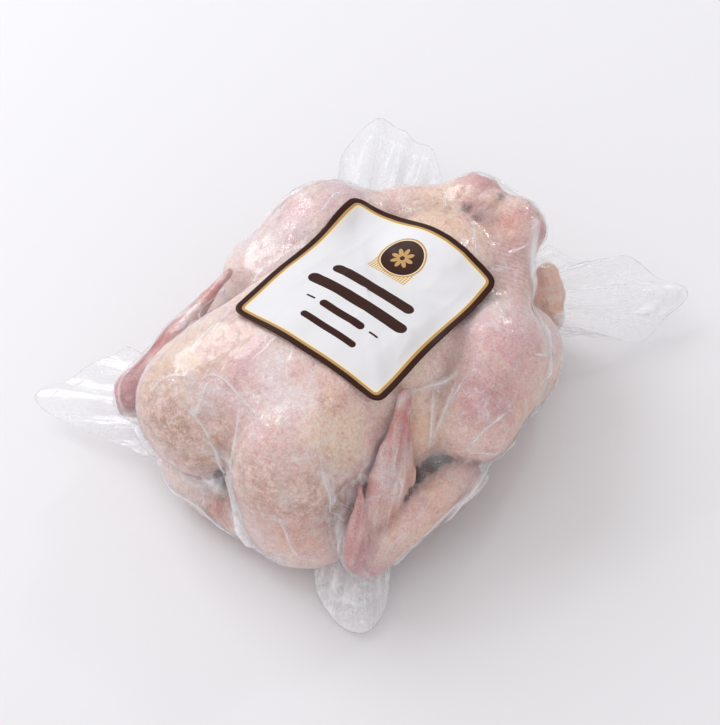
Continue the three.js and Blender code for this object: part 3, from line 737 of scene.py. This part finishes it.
SHARP_FOLDS = [
    # points that a sharp crease runs through, its height and its half width
    ([(-71, -103, 38), (-57, -111, 45), (-47, -112, 39), (-41, -110, 34)], 3.2, 2.6),
    ([(-45, -111, 36), (-42, -108, 30), (-34, -104, 25), (-24, -103, 27)], 1.6, 2.0),
    ([(-50, -110, 34), (-44, -105, 15), (-21, -108, 18), (-6, -109, 14), (20, -110, 13)], 1.4, 2.0),
    ([(75, -78, 22), (77, -61, 22), (78, -48, 22), (82, -27, 38), (82, -15, 36), (86, 1, 40)], 1.2, 3.0),
    ([(82, -12, 36), (87, 1, 41), (79, 29, 27), (72, 51, 30), (68, 58, 44)], 1.1, 3.2),
    ([(-75, -10, 70), (-82, 9, 72), (-72, 28, 88), (-62, 51, 85), (-48, 62, 86)], 1.5, 3.0),
    ([(-20, 85, 85), (-9, 95, 88), (3, 96, 87), (23, 93, 87), (33, 90, 77), (34, 98, 50)], 1.5, 3.0),
    ([(-83, -100, 42), (-82, -96, 50), (-81, -81, 54), (-78, -66, 63), (-74, -45, 69)], 1.6, 2.0),
    ([(-20, -104, 69), (-13, -102, 63), (-8, -103, 53), (-1, -105, 54)], 1.3, 1.6),
    ([(-34, -101, 78), (-26, -101, 76), (-19, -101, 71), (-14, -102, 63)], 0.6, 1.1),
    ([(-1, -105, 54), (4, -108, 44), (7, -110, 23), (14, -111, 20), (31, -110, 18)], 1.4, 1.7),
    ([(1, -106, 52), (7, -108, 42), (12, -109, 28), (20, -110, 22), (34, -108, 24)], 0.9, 1.3),
    ([(-41, -106, 16), (-20, -108, 18), (-6, -109, 14), (8, -110, 12), (20, -110, 14)], 0.9, 1.3),
    ([(-22, -106, 26), (-18, -106, 21), (-15, -107, 17)], 0.6, 1.0),
    ([(30, -108, 56), (33, -107, 45), (36, -106, 33), (41, -105, 26)], 1.0, 1.7),
    ([(31, -79, 84), (39, -87, 73), (44, -88, 58), (51, -92, 47), (57, -97, 36), (60, -99, 26)], 1.5, 1.5),
    ([(38, -82, 76), (44, -85, 62), (50, -86, 50), (57, -92, 44), (63, -97, 33)], 0.5, 1.5),
    ([(-11, -85, 84), (-5, -95, 76), (-2, -101, 66), (-2, -105, 54)], 1.1, 1.8),
    ([(45, -36, 84), (45, -28, 78), (45, -20, 74), (49, -11, 72), (51, -4, 73)], 1.4, 1.3),
    ([(46, -14, 73), (52, -24, 67), (56, -30, 59), (58, -34, 51)], 0.3, 1.7),
    ([(53, -7, 72), (55, -14, 69), (57, -22, 66), (58, -33, 53)], 0.3, 1.7),
    ([(-21, 75, 85), (-18, 74, 87), (-14, 69, 87), (-11, 64, 86)], 1.3, 1.0),
    ([(29, 85, 86), (35, 76, 79), (42, 66, 74), (58, 58, 60), (72, 38, 62), (77, 33, 58)], 1.6, 1.6),
    ([(31, 83, 84), (34, 79, 80), (37, 74, 77), (41, 70, 73)], 1.2, 1.2),
    ([(23, 47, 87), (15, 56, 89), (6, 66, 87), (-3, 69, 87)], 0.8, 1.1),
    ([(34, 42, 80), (44, 36, 81), (52, 30, 83)], 0.9, 1.1),
    ([(71, 26, 75), (74, 34, 68), (69, 54, 47)], 1.2, 1.2),
    ([(74, -23, 53), (81, -16, 48), (83, -11, 46)], 0.8, 1.4),
    ([(72, -25, 51), (76, -15, 62), (78, 2, 63)], 0.4, 1.8),
    ([(-33, -85, 86), (-23, -83, 87), (-8, -85, 84), (4, -87, 84)], 0.5, 1.2),
    ([(-51, -104, 73), (-49, -97, 79), (-42, -92, 83), (-34, -90, 84)], 0.7, 1.2),
    ([(-55, 38, 91), (-54, 29, 92), (-52, 20, 91)], 0.7, 1.1),
    ([(-47, -44, 89), (-46, -58, 90), (-46, -70, 88), (-46, -80, 86)], 0.8, 1.2),
    ([(-71, -25, 74), (-71, -34, 69), (-68, -50, 70), (-54, -79, 83)], 1.1, 1.2),
    ([(-70, -103, 42), (-75, -102, 48), (-79, -96, 52), (-80, -84, 55)], 1.0, 1.2),
    ([(29, 61, 84), (32, 70, 82), (33, 79, 81)], 0.7, 1.1),
    ([(9, 36, 91), (15, 37, 90), (22, 36, 87), (29, 34, 82)], 0.7, 1.1),
    ([(74, -79, 25), (79, -58, 28), (82, -31, 34), (84, 0, 36), (80, 30, 34)], 0.8, 1.4),
]
FOLD_ACROSS = (-1, -0.6, -0.3, -0.12, 0, 0.12, 0.3, 0.6, 1)
LOOSE_FOLDS = {"count": 60, "height": (0.12, 0.32), "half_width": (1.4, 3.2), "length": (10, 34), "seed": 7}
LOOSE_FROM_TABLE = 8
UNDER_LABEL = {"centre": (-3, -4), "half": (50, 56), "above": 60}

# Frost on the film, in soft spots; the broad ones on the upper left of the leg and thigh are also painted
# sheen of the soft light there.
FROST_AND_SHEEN_SPOTS = [
    ((-66, -2, 73), 20, 0.9), ((-60, 45, 80), 26, 0.5), ((-7, -65, 92), 10, 0.8), ((-28, -94, 82), 10, 0.7),
    ((8, -72, 90), 11, 0.8), ((-51, -68, 86), 16, 0.5), ((-40, -108, 20), 10, 0.9), ((-27, -107, 26), 9, 0.9),
    ((-17, -103, 31), 7, 0.8), ((2, -107, 40), 6, 0.9), ((6, -109, 28), 9, 1.0), ((16, -111, 18), 14, 1.0),
    ((28, -111, 19), 12, 1.0), ((36, -108, 22), 7, 0.9), ((76, 35, 50), 16, 0.4), ((43, 33, 82), 12, 0.6),
    ((80, -35, 40), 9, 0.5), ((57, -62, 64), 8, 0.5), ((55, -97, 38), 9, 0.6), ((35, 72, 80), 9, 0.5),
    ((-14, -81, 86), 9, 0.2),
]


def film(p):
    """The bird's field with its creases bridged and the film's standoff, never closer to the skin than a
    hair, and cut off by the table."""
    loose = bird(p, FILM_DRAPE) - FILM_STANDOFF
    tight = bird(p) - relief(p) - FILM_LEAST_GAP
    return np.maximum(np.minimum(loose, tight), -p[..., 2])


def box_skin(counts):
    """A cube from -1 to 1 as a closed grid of quads: its points, and its faces turned outwards."""
    points, quads = [], []
    for axis in range(3):
        u, v = (axis + 1) % 3, (axis + 2) % 3
        rows, columns = counts[u] + 1, counts[v] + 1
        for side in (-1, 1):
            sheet = np.zeros((rows, columns, 3))
            sheet[..., axis] = side
            sheet[..., u] = np.linspace(-1, 1, rows)[:, None]
            sheet[..., v] = np.linspace(-1, 1, columns)[None, :]
            number = np.arange(rows * columns).reshape(rows, columns) + sum(map(len, points))
            quad = np.stack([number[:-1, :-1], number[1:, :-1], number[1:, 1:], number[:-1, 1:]], -1)
            quad = quad.reshape(-1, 4)
            quads.append(quad if side > 0 else quad[:, ::-1])
            points.append(sheet.reshape(-1, 3))
    points, again = np.unique(np.concatenate(points).round(6), axis=0, return_inverse=True)
    return points, again.reshape(-1)[np.concatenate(quads)]


def sample(values, low, step, p):
    """A grid's values at points between its own, mixed from the eight around each."""
    q = np.clip((p - low) / step, 0, np.array(values.shape) - 1.001)
    base = q.astype(int)
    share = q - base
    total = np.zeros(p.shape[:-1], np.float32)
    for corner in np.ndindex(2, 2, 2):
        i, j, k = np.moveaxis(base + corner, -1, 0)
        total += values[i, j, k] * np.where(corner, share, 1 - share).prod(-1)
    return total


def neighbour_mean(faces, count):
    """A function that gives each point the mean of the points that it shares an edge with."""
    edges = np.concatenate([faces[:, [i, (i + 1) % 4]] for i in range(4)])
    start, end = np.concatenate([edges, edges[:, ::-1]]).T
    ways = np.bincount(start, minlength=count)

    def mean(points):
        sums = [np.bincount(start, points[end, axis], minlength=count) for axis in range(3)]
        return np.stack(sums, -1) / ways[:, None]

    return mean


def polyline_distance(p, line):
    """How far each point is from a line through the given points."""
    nearest = np.full(len(p), 1e3)
    for a, b in zip(line, line[1:]):
        nearest = np.minimum(nearest, limb(p, a, b, 0, 0))
    return nearest


def make_film(name, points, faces, crest, slack=0.0, frost=0.0):
    """A piece of the film, whitened by how far it stands off, its frost and how sharp a fold's crest is: the
    white of the crests is partly painted highlight.
    """
    return make_piece(name, points, faces, FILM, "bagged_chicken", {
        "crest": crest, "slack": slack, "frost": frost})


def build_film():
    """Points slide in along lines from an outer box to an inner one until they meet the film's field. Then
    the film is pulled taut: each goes out along its line to the middle of its neighbours, but never in."""
    counts = np.round(2 * WRAP_OUTER / WRAP_STEP).astype(int)
    unit, faces = box_skin(counts)
    core, shell = WRAP_CENTRE + unit * WRAP_INNER, WRAP_CENTRE + unit * WRAP_OUTER
    way = shell - core
    reach = WRAP_OUTER + WRAP_MARGIN
    values = film(grid_points(WRAP_CENTRE - reach, WRAP_CENTRE + reach, FILM_GRID_STEP))
    share = np.ones(len(unit))
    previous = np.full(len(unit), 1e3)
    found = np.zeros(len(unit), bool)
    for level in np.linspace(1, 0, SLIDES):
        now = sample(values, WRAP_CENTRE - reach, FILM_GRID_STEP, core + way * level)
        meets = ~found & (now < 0)
        part = previous / np.where(meets, previous - now, 1)
        share[meets] = level + (1 - part[meets]) / (SLIDES - 1)
        found |= meets
        previous = now
    probe, least_slope = 0.004, 5
    for _ in range(2):
        here, ahead = film(core + way * share[:, None]), film(core + way * (share + probe)[:, None])
        share = np.clip(share - here / np.maximum((ahead - here) / probe, least_slope), 0, 1)
    points = core + way * share[:, None]
    mean = neighbour_mean(faces, len(points))
    length = (way * way).sum(-1)
    for _ in range(PULLS):
        share = np.maximum(share, ((mean(points) - core) * way).sum(-1) / length)
        points = core + way * share[:, None]
    normal = downhill(lambda p: bird(p, FILM_DRAPE), points, 1.0)
    lift = np.zeros(len(points))
    for line, height, width in FOLDS:
        lift = np.maximum(lift, height * np.clip(1 - polyline_distance(points, line) / width, 0, 1) ** 1.5)
    slack = smooth_step(*SLACK_GAP, bird(points) - relief(points))
    crumples = ridges(points * (1, 1, 0.6), CRUMPLES["cell"], CRUMPLES["seed"]) ** 4
    lift += CRUMPLES["height"] * crumples * (0.3 + slack)
    resting = points[:, 2] < 0.4
    points = points + normal * np.where(resting, 0, lift)[:, None]
    points[:, 2] = np.where(resting, 0, np.maximum(points[:, 2], 0))
    make_film("pouch_film", points, faces, np.clip(lift / 4, 0, 1), slack, spots(points, FROST_AND_SHEEN_SPOTS))
    return points


def curve_through(points, count):
    """A smooth curve through the points, as a uniform Catmull-Rom spline, at evenly spaced parameters."""
    p = np.array(points, float)
    p = np.concatenate([[2 * p[0] - p[1]], p, [2 * p[-1] - p[-2]]])
    way = np.linspace(0, len(points) - 1, count)
    i = np.minimum(way.astype(int), len(points) - 2)
    t = (way - i)[:, None]
    a, b, c, d = p[i], p[i + 1], p[i + 2], p[i + 3]
    return b + 0.5 * t * (c - a + t * (2 * a - 5 * b + 4 * c - d + t * (3 * (b - c) + d - a)))


def grid_faces(rows, columns):
    """The quads of a grid of points that is numbered row by row."""
    number = np.arange(rows * columns).reshape(rows, columns)
    return np.stack([number[:-1, :-1], number[:-1, 1:], number[1:, 1:], number[1:, :-1]], -1).reshape(-1, 4)


def onto_film(points, rounds=4):
    """Points moved to the film's smooth field, by its value along its gradient a few times over."""
    def field(p):
        return bird(p, FILM_DRAPE) - FILM_STANDOFF

    for _ in range(rounds):
        points = points - downhill(field, points, 0.6) * field(points)[:, None]
    return points, downhill(field, points, 0.6)


def loose_folds(starts):
    """Short random creases: each starts at a point of the film and runs on in a gentle bend."""
    rng = np.random.default_rng(LOOSE_FOLDS["seed"])
    lines = []
    for start in starts[rng.choice(len(starts), LOOSE_FOLDS["count"], replace=False)]:
        way, bend = rng.normal(size=3), rng.normal(size=3) * 0.5
        length = rng.uniform(*LOOSE_FOLDS["length"])
        share = np.linspace(-0.5, 0.5, 5)[:, None]
        line = start + length * (share * way / np.linalg.norm(way) + share * share * bend)
        lines.append((line, rng.uniform(*LOOSE_FOLDS["height"]), rng.uniform(*LOOSE_FOLDS["half_width"])))
    return lines


def build_folds(name, lines, whiteness):
    """Ribbons along lines on the film. With t from -1 to 1 across one and s from 0 to 1 along it, it rises
    in a steep flank up to t 0 and falls in a wide one behind it, and dies out towards both ends."""
    t = np.array(FOLD_ACROSS)
    offset = np.where(t < 0, 0.5, 1.5) * t
    flank = np.where(t < 0, (1 + t) ** 1.2, np.maximum(1 - t, 0) ** 2)
    points, faces, crests = [], [], []
    for line, height, half_width in lines:
        length = np.linalg.norm(np.diff(np.array(line, float), axis=0), axis=1).sum()
        rows = max(8, int(length))
        path, normal = onto_film(curve_through(line, rows))
        along = np.gradient(path, axis=0)
        side = np.cross(normal, along)
        side /= np.maximum(np.linalg.norm(side, axis=1, keepdims=True), 1e-6)
        s = np.linspace(0, 1, rows)
        ends = smooth_step(0, 0.3, np.minimum(s, 1 - s)) * (0.35 + 1.2 * cloud(path, 6, 51))
        profile = flank * ends[:, None]
        ribbon = path[:, None] + side[:, None] * (offset * half_width)[None, :, None]
        ribbon = ribbon + normal[:, None] * (profile * height * 0.75 + 0.12)[..., None]
        ribbon[..., 2] = np.maximum(ribbon[..., 2], 0.3)
        faces.append(grid_faces(rows, len(t))[:, ::-1] + sum(map(len, points)))
        points.append(ribbon.reshape(-1, 3))
        crests.append(profile.reshape(-1))
    make_film(name, np.concatenate(points), np.concatenate(faces), whiteness * np.concatenate(crests))


def pouch_film():
    """Clear film: what is behind it shows, and the room and the lights mirror in it more the flatter they
    meet it. It is whiter where it stands off the skin, along its folds, and where it is frosted. The white
    along the folds and thin crease lines is partly painted highlight, and the frost's broad spots on the
    upper left are partly painted sheen."""
    material, tree = new_material("pouch_film")
    place = add_node(tree, "ShaderNodeTexCoord").outputs["Object"]
    stretched = add_node(tree, "ShaderNodeMapping", {"Vector": place, "Scale": (1.0, 0.55, 0.45)}).outputs[0]
    creases = 0.0
    for scale, width, strength in ((52, 0.03, 1.0), (120, 0.05, 0.6)):
        wander = maths(tree, "ABSOLUTE", maths(tree, "SUBTRACT", noise(tree, stretched, scale, 2, 0.5), 0.5))
        broken = maths(tree, "MULTIPLY", patches(tree, place, scale * 0.8, 2, 0.5, 0.5, 0.66), strength)
        line = maths(tree, "MULTIPLY", fade(tree, wander, width, 0.0), broken)
        creases = maths(tree, "MAXIMUM", line, creases)
    crumple = noise(tree, place, 75, 3, 0.5, "RIDGED_MULTIFRACTAL")
    height = maths(tree, "MULTIPLY_ADD", noise(tree, place, 260, 3, 0.5), 0.25, crumple)
    height = maths(tree, "MULTIPLY_ADD", creases, 0.12, height)
    bump = add_node(tree, "ShaderNodeBump", {"Height": height, "Strength": 0.8, "Distance": 0.0014})
    bump = bump.outputs[0]
    facing = add_node(tree, "ShaderNodeLayerWeight", {"Blend": 0.5, "Normal": bump}).outputs["Facing"]
    mirror = maths(tree, "MULTIPLY_ADD", maths(tree, "POWER", facing, 4.5), 0.8, 0.04)
    frost = patches(tree, place, 85, 5, 0.65, 0.48, 0.68)
    veil = maths(tree, "MULTIPLY_ADD", frost, 0.05, 0.015)
    rime = maths(tree, "MULTIPLY_ADD", frost, 0.3, 0.25)
    # whiter where it stands off and where frosted; white crease lines, partly painted highlight
    for cause, white in ((value_of(tree, "slack"), 0.07), (creases, 0.18), (value_of(tree, "frost"), rime)):
        veil = maths(tree, "MULTIPLY_ADD", cause, white, veil)
    # white fold crests: partly creased film, partly painted highlight
    veil = maths(tree, "MULTIPLY_ADD", value_of(tree, "crest"), 0.75, veil, clamp=True)
    clear = add_node(tree, "ShaderNodeBsdfTransparent", {"Color": (1, 1, 1, 1)})
    gloss = add_node(tree, "ShaderNodeBsdfPrincipled", {
        "Base Color": srgb(240, 241, 246), "Roughness": 0.14, "Metallic": 1.0, "Normal": bump})
    haze = add_node(tree, "ShaderNodeBsdfPrincipled", {
        "Base Color": srgb(247, 248, 251), "Roughness": 0.35, "Normal": bump})
    behind = add_node(tree, "ShaderNodeMixShader", {0: veil, 1: clear.outputs[0], 2: haze.outputs[0]})
    front = add_node(tree, "ShaderNodeMixShader", {0: mirror, 1: behind.outputs[0], 2: gloss.outputs[0]})
    set_surface(tree, front.outputs[0])
    return material


FILM = pouch_film()
film_points = build_film()
build_folds("pouch_folds", SHARP_FOLDS, 0.65)
under_label = (np.abs(film_points[:, :2] - UNDER_LABEL["centre"]) < UNDER_LABEL["half"]).all(-1)
under_label &= film_points[:, 2] > UNDER_LABEL["above"]
free = ~under_label & (film_points[:, 2] > LOOSE_FROM_TABLE)
build_folds("pouch_wrinkles", loose_folds(film_points[free]), 0.25)

# ---------------------------------------------------------------- the pouch's corners
# The flat pouch had more film than the bird needed, so its corners stand off as thin ears: two sheets pressed
# together, pleated where they are gathered at the bird and welded flat along their far edge.
EARS = {
    "pouch_corner_back_right": {
        "root": [(20, 92, 40), (46, 72, 24)],
        "edge": [(22, 112, 42), (37, 118, 36), (51, 145, 24), (71, 148, 20), (87, 150, 18), (86, 133, 13),
                 (83, 113, 10), (66, 98, 16), (57, 86, 22)],
        "ripple": 2.2, "pleats": 5, "weld": 0.16, "frost": 0.0,
        # white patches at the tip: where the film is pressed flat at the weld, and a painted glint of the
        # light on it
        "weld_and_glint_patches": [
            (0.55, 0.86, 0.08, 0.12, 1.1), (0.66, 0.76, 0.012, 0.16, 0.8), (0.79, 0.6, 0.03, 0.2, 0.6)]},
    "pouch_corner_back_left": {
        "root": [(-78, 52, 30), (-36, 82, 34)],
        "edge": [(-96, 84, 32), (-114, 112, 24), (-117, 145, 20), (-102, 147, 20), (-90, 144, 22),
                 (-75, 141, 25), (-54, 122, 33)],
        "ripple": 2.0, "pleats": 4, "weld": 0.16, "frost": 0.1},
    "pouch_corner_front_left": {
        "root": [(-48, -96, 18), (-72, -66, 36)],
        "edge": [(-62, -105, 15), (-80, -105, 11), (-107, -111, 8), (-130, -112, 12), (-125, -95, 14),
                 (-116, -82, 22), (-104, -69, 33)],
        "ripple": 1.6, "pleats": 4, "weld": 0.14, "frost": 0.0},
    "pouch_corner_front_right": {
        "root": [(62, -62, 18), (38, -84, 14)],
        "edge": [(71, -77, 9), (78, -88, 5), (81, -98, 4), (80, -107, 3.6), (72, -110.5, 3.6), (62, -110, 4),
                 (50, -105, 5), (42, -98, 8)],
        "ripple": 0.8, "pleats": 3, "weld": 0.3, "frost": 0.9},
}
EAR_COLUMNS = 150
EAR_ROWS = 70
SHEET_GAP = 1.5
WELD_RIBS = {"count": 30, "height": 0.14}


def build_ear(name, root, edge, ripple, pleats, weld, frost, seed, weld_and_glint_patches=()):
    """Straight lines from the root to the edge, with u from one line to the next and v along them. The pleats
    are waves in u that die out at the weld, and two sheets part between the pleats and meet at the rim. The
    film is white in patches round a (u, v) with half widths and a strength: partly pressed flat at the weld,
    partly a painted glint of the light on it."""
    u = np.linspace(0, 1, EAR_COLUMNS)[None, :, None]
    v = np.linspace(0, 1, EAR_ROWS)[:, None, None]
    start = np.array(root[0]) * (1 - u) + np.array(root[1]) * u
    flat = start * (1 - v) + curve_through(edge, EAR_COLUMNS)[None] * v
    u, v = np.broadcast_to(u, flat.shape)[..., 0], np.broadcast_to(v, flat.shape)[..., 0]
    loose = np.sin(math.pi * np.minimum(v, 0.8))
    welded = smooth_step(1 - weld, 1 - weld * 0.8, v)
    rim = np.minimum(1, 12 * np.minimum.reduce([u, 1 - u, 1 - v]))
    white = np.zeros_like(u)
    for at_u, at_v, half_u, half_v, strength in weld_and_glint_patches:
        away = np.maximum(np.abs(u - at_u) / half_u, np.abs(v - at_v) / half_v)
        white = np.maximum(white, strength * smooth_step(1.1, 0.8, away))
    white = white * np.clip(0.55 + 0.9 * cloud(flat * (1, 1, 0), 3.0, 61), 0, 1)
    sheets, crests = [], []
    for side in (1, -1):
        fan = np.stack([u * pleats * 3, v * 1.3, np.full_like(u, seed + side)], -1)
        crumple = ridges(fan, 0.6, 21) ** 3 + 0.5 * ridges(fan * 2.3, 0.6, 22) ** 3
        lift = ripple * np.sin(2 * math.pi * pleats * u) * loose
        parted = SHEET_GAP * 0.5 + ripple * 0.5 * crumple * (1 - 0.6 * v)
        lift = lift + side * rim * (1 - 0.8 * welded) * parted
        lift = lift + WELD_RIBS["height"] * welded * np.sin(2 * math.pi * WELD_RIBS["count"] * u) * rim * side
        sheets.append(flat + lift[..., None] * (0, 0, 1))
        crests.append(np.clip(crumple - 0.5, 0, 1) * (1 - 0.7 * welded) * 0.5 + white)
    points = np.concatenate([sheet.reshape(-1, 3) for sheet in sheets])
    top = grid_faces(EAR_ROWS, EAR_COLUMNS)
    faces = np.concatenate([top, top[:, ::-1] + EAR_ROWS * EAR_COLUMNS])
    points, first, again = np.unique(points.round(4), axis=0, return_index=True, return_inverse=True)
    points[:, 2] = np.maximum(points[:, 2], 0.1)
    crest = np.concatenate([crest.reshape(-1) for crest in crests])[first]
    make_film(name, points, again.reshape(-1)[faces], crest, frost=frost)


for seed, (name, ear) in enumerate(EARS.items()):
    build_ear(name, seed=seed, **ear)

# ---------------------------------------------------------------- the label
# A white label of thin coated film, printed with a dark brown border, a gold and a cream line inside it, a
# round emblem and plain bars. It lies over the breast and bridges the small creases under it.
LABEL = {"width": 85.0, "length": 96.0, "arch": 4.0, "corner": 6.0, "centre": (-3.0, -4.5), "yaw": 2.5}
LABEL_GAP = 0.75
LABEL_THICKNESS = 0.25
LABEL_AROUND = 240
LABEL_RINGS = 60
LABEL_START = 108.0
LABEL_DROPS = 45
LABEL_PULLS = 150
LABEL_LINES = [("cream", 4.8), ("gold", 4.1), ("brown", 2.8)]
EMBLEM = {"across": -0.5, "up": 29.0}
EMBLEM_RINGS = [("gold", 11.8), ("cream", 10.9), ("brown", 10.4)]
EMBLEM_PETALS = 8
BARS = [
    # middle across and up, length, height
    (1.5, 3.0, 46, 6.4),
    (1.5, -9.5, 56, 6.4),
    (1.5, -21.0, 25, 4.2),
    (-16.5, -21.0, 5, 1.1),
    (19.5, -21.0, 5, 1.1),
    (1.5, -31.5, 31, 3.6),
]
LACE = {"across": -0.5, "up": 21.5, "half_width": 11.0, "half_height": 6.0, "pitch": 2.4}


def label_outline(count):
    """Straight sides and lower edge, round corners and a bowed upper edge, in even steps round them."""
    x, y, r, bow = LABEL["width"] / 2, LABEL["length"] / 2, LABEL["corner"], LABEL["arch"]
    t = np.linspace(0, 1, 40, endpoint=False)[:, None]

    def bend(a, b, c):
        return np.array(a) * (1 - t) ** 2 + np.array(b) * 2 * t * (1 - t) + np.array(c) * t * t

    def line(a, b):
        return np.array(a) * (1 - t) + np.array(b) * t

    outline = np.concatenate([
        line((r - x, -y), (x - r, -y)), bend((x - r, -y), (x, -y), (x, r - y)), line((x, r - y), (x, y - r)),
        bend((x, y - r), (x, y), (x - r, y + bow / 4)),
        bend((x - r, y + bow / 4), (0, y + bow * 1.75), (r - x, y + bow / 4)),
        bend((r - x, y + bow / 4), (-x, y), (-x, y - r)), line((-x, y - r), (-x, r - y)),
        bend((-x, r - y), (-x, -y), (r - x, -y))])
    closed = np.concatenate([outline, outline[:1]])
    way = np.concatenate([[0], np.cumsum(np.linalg.norm(np.diff(closed, axis=0), axis=1))])
    even = np.linspace(0, way[-1], count, endpoint=False)
    return np.stack([np.interp(even, way, closed[:, axis]) for axis in range(2)], -1)


def build_label():
    """Rings of the outline, each a share of the one outside it, dropped onto the film and then pulled taut:
    each point rises to the middle of its neighbours, but never sinks."""
    outline = label_outline(LABEL_AROUND)
    share = (np.arange(1, LABEL_RINGS + 1) / LABEL_RINGS)[:, None, None]
    plan = (outline[None] * share).reshape(-1, 2)
    ring = np.arange(LABEL_AROUND)
    faces = grid_faces(LABEL_RINGS, LABEL_AROUND + 1)
    row, column = np.divmod(faces, LABEL_AROUND + 1)
    faces = (row * LABEL_AROUND + column % LABEL_AROUND)[:, ::-1]
    yaw = math.radians(LABEL["yaw"])
    turn = np.array([[math.cos(yaw), math.sin(yaw)], [-math.sin(yaw), math.cos(yaw)]])
    points = np.column_stack([plan @ turn + LABEL["centre"], np.full(len(plan), LABEL_START)])
    for _ in range(LABEL_DROPS):
        points[:, 2] -= 0.7 * np.maximum(film(points), 0)
    mean = neighbour_mean(faces, len(points))
    for _ in range(LABEL_PULLS):
        points[:, 2] = np.maximum(points[:, 2], mean(points)[:, 2])
    points[:, 2] += LABEL_GAP
    points[:, 2] += 0.3 * ridges(points * (1, 0.5, 1), 11, 31) ** 3 + 0.35 * (cloud(points, 17, 32) - 0.5)
    from_edge = np.full(len(plan), 1e3)
    for a, b in zip(outline, np.roll(outline, -1, axis=0)):
        t = np.clip(((plan - a) @ (b - a)) / ((b - a) @ (b - a)), 0, 1)[:, None]
        from_edge = np.minimum(from_edge, np.linalg.norm(plan - a - t * (b - a), axis=1))
    faces = [*faces.tolist(), ring.tolist()]
    label = make_piece("printed_label", points, faces, label_print(), "label", {
        "from_edge": from_edge, "across": plan[:, 0], "up": plan[:, 1]})
    thickness = label.modifiers.new("thickness", "SOLIDIFY")
    thickness.thickness, thickness.offset = LABEL_THICKNESS / 1000, -1.0


def away_from(tree, value, middle, half=0.0):
    """How far a value is from the middle of a span, past half the span's width."""
    away = maths(tree, "ABSOLUTE", maths(tree, "SUBTRACT", value, middle))
    return maths(tree, "SUBTRACT", away, half)


def length_of(tree, x, y):
    """The root of x squared plus y squared."""
    return maths(tree, "SQRT", maths(tree, "MULTIPLY_ADD", x, x, maths(tree, "MULTIPLY", y, y)))


def printed(tree, under, ink, distance, reach=0.0):
    """Ink over a colour where a distance in millimetres is below `reach`, with the edge of a real print."""
    return mix_colour(tree, fade(tree, distance, reach + 0.1, reach - 0.1), under, ink)


def label_print():
    """Fields of flat print under a clear coat, each bounded by a distance in millimetres."""
    ink = {"white": srgb(225, 225, 228), "brown": srgb(52, 22, 13), "gold": srgb(188, 150, 96),
           "cream": srgb(240, 224, 190)}
    material, tree = new_material("label_print")
    edge, across, up = (value_of(tree, name) for name in ("from_edge", "across", "up"))
    colour = ink["white"]
    for name, reach in LABEL_LINES:
        colour = printed(tree, colour, ink[name], edge, reach)
    rise, fall = (maths(tree, "MULTIPLY", maths(tree, how, across, up), LACE["pitch"])
                  for how in ("ADD", "SUBTRACT"))
    weave = maths(tree, "MULTIPLY", maths(tree, "SINE", rise), maths(tree, "SINE", fall))
    lace = mix_colour(tree, fade(tree, weave, -0.1, 0.2), ink["cream"], ink["gold"])
    x = away_from(tree, across, LACE["across"], LACE["half_width"])
    y = away_from(tree, up, LACE["up"], LACE["half_height"])
    colour = printed(tree, colour, lace, maths(tree, "MAXIMUM", x, y))
    for middle, height, length, thick in BARS:
        x = maths(tree, "MAXIMUM", away_from(tree, across, middle, (length - thick) / 2), 0)
        y = maths(tree, "SUBTRACT", up, height)
        colour = printed(tree, colour, ink["brown"], length_of(tree, x, y), thick / 2)
    x = maths(tree, "SUBTRACT", across, EMBLEM["across"])
    y = maths(tree, "SUBTRACT", up, EMBLEM["up"])
    radius = length_of(tree, x, y)
    for name, reach in EMBLEM_RINGS:
        colour = printed(tree, colour, ink[name], radius, reach)
    turn = maths(tree, "MULTIPLY", maths(tree, "ARCTAN2", y, x), EMBLEM_PETALS / 2)
    petal = maths(tree, "MULTIPLY_ADD", maths(tree, "ABSOLUTE", maths(tree, "COSINE", turn)), 3.4, 2.4)
    colour = printed(tree, colour, ink["gold"], maths(tree, "SUBTRACT", radius, petal))
    colour = printed(tree, colour, ink["brown"], radius, 1.2)
    coat = add_node(tree, "ShaderNodeBsdfPrincipled", {
        "Base Color": colour, "Roughness": 0.5, "Specular IOR Level": 0.15, "Coat Weight": 0.1,
        "Coat Roughness": 0.25})
    set_surface(tree, coat.outputs[0])
    return material


build_label()
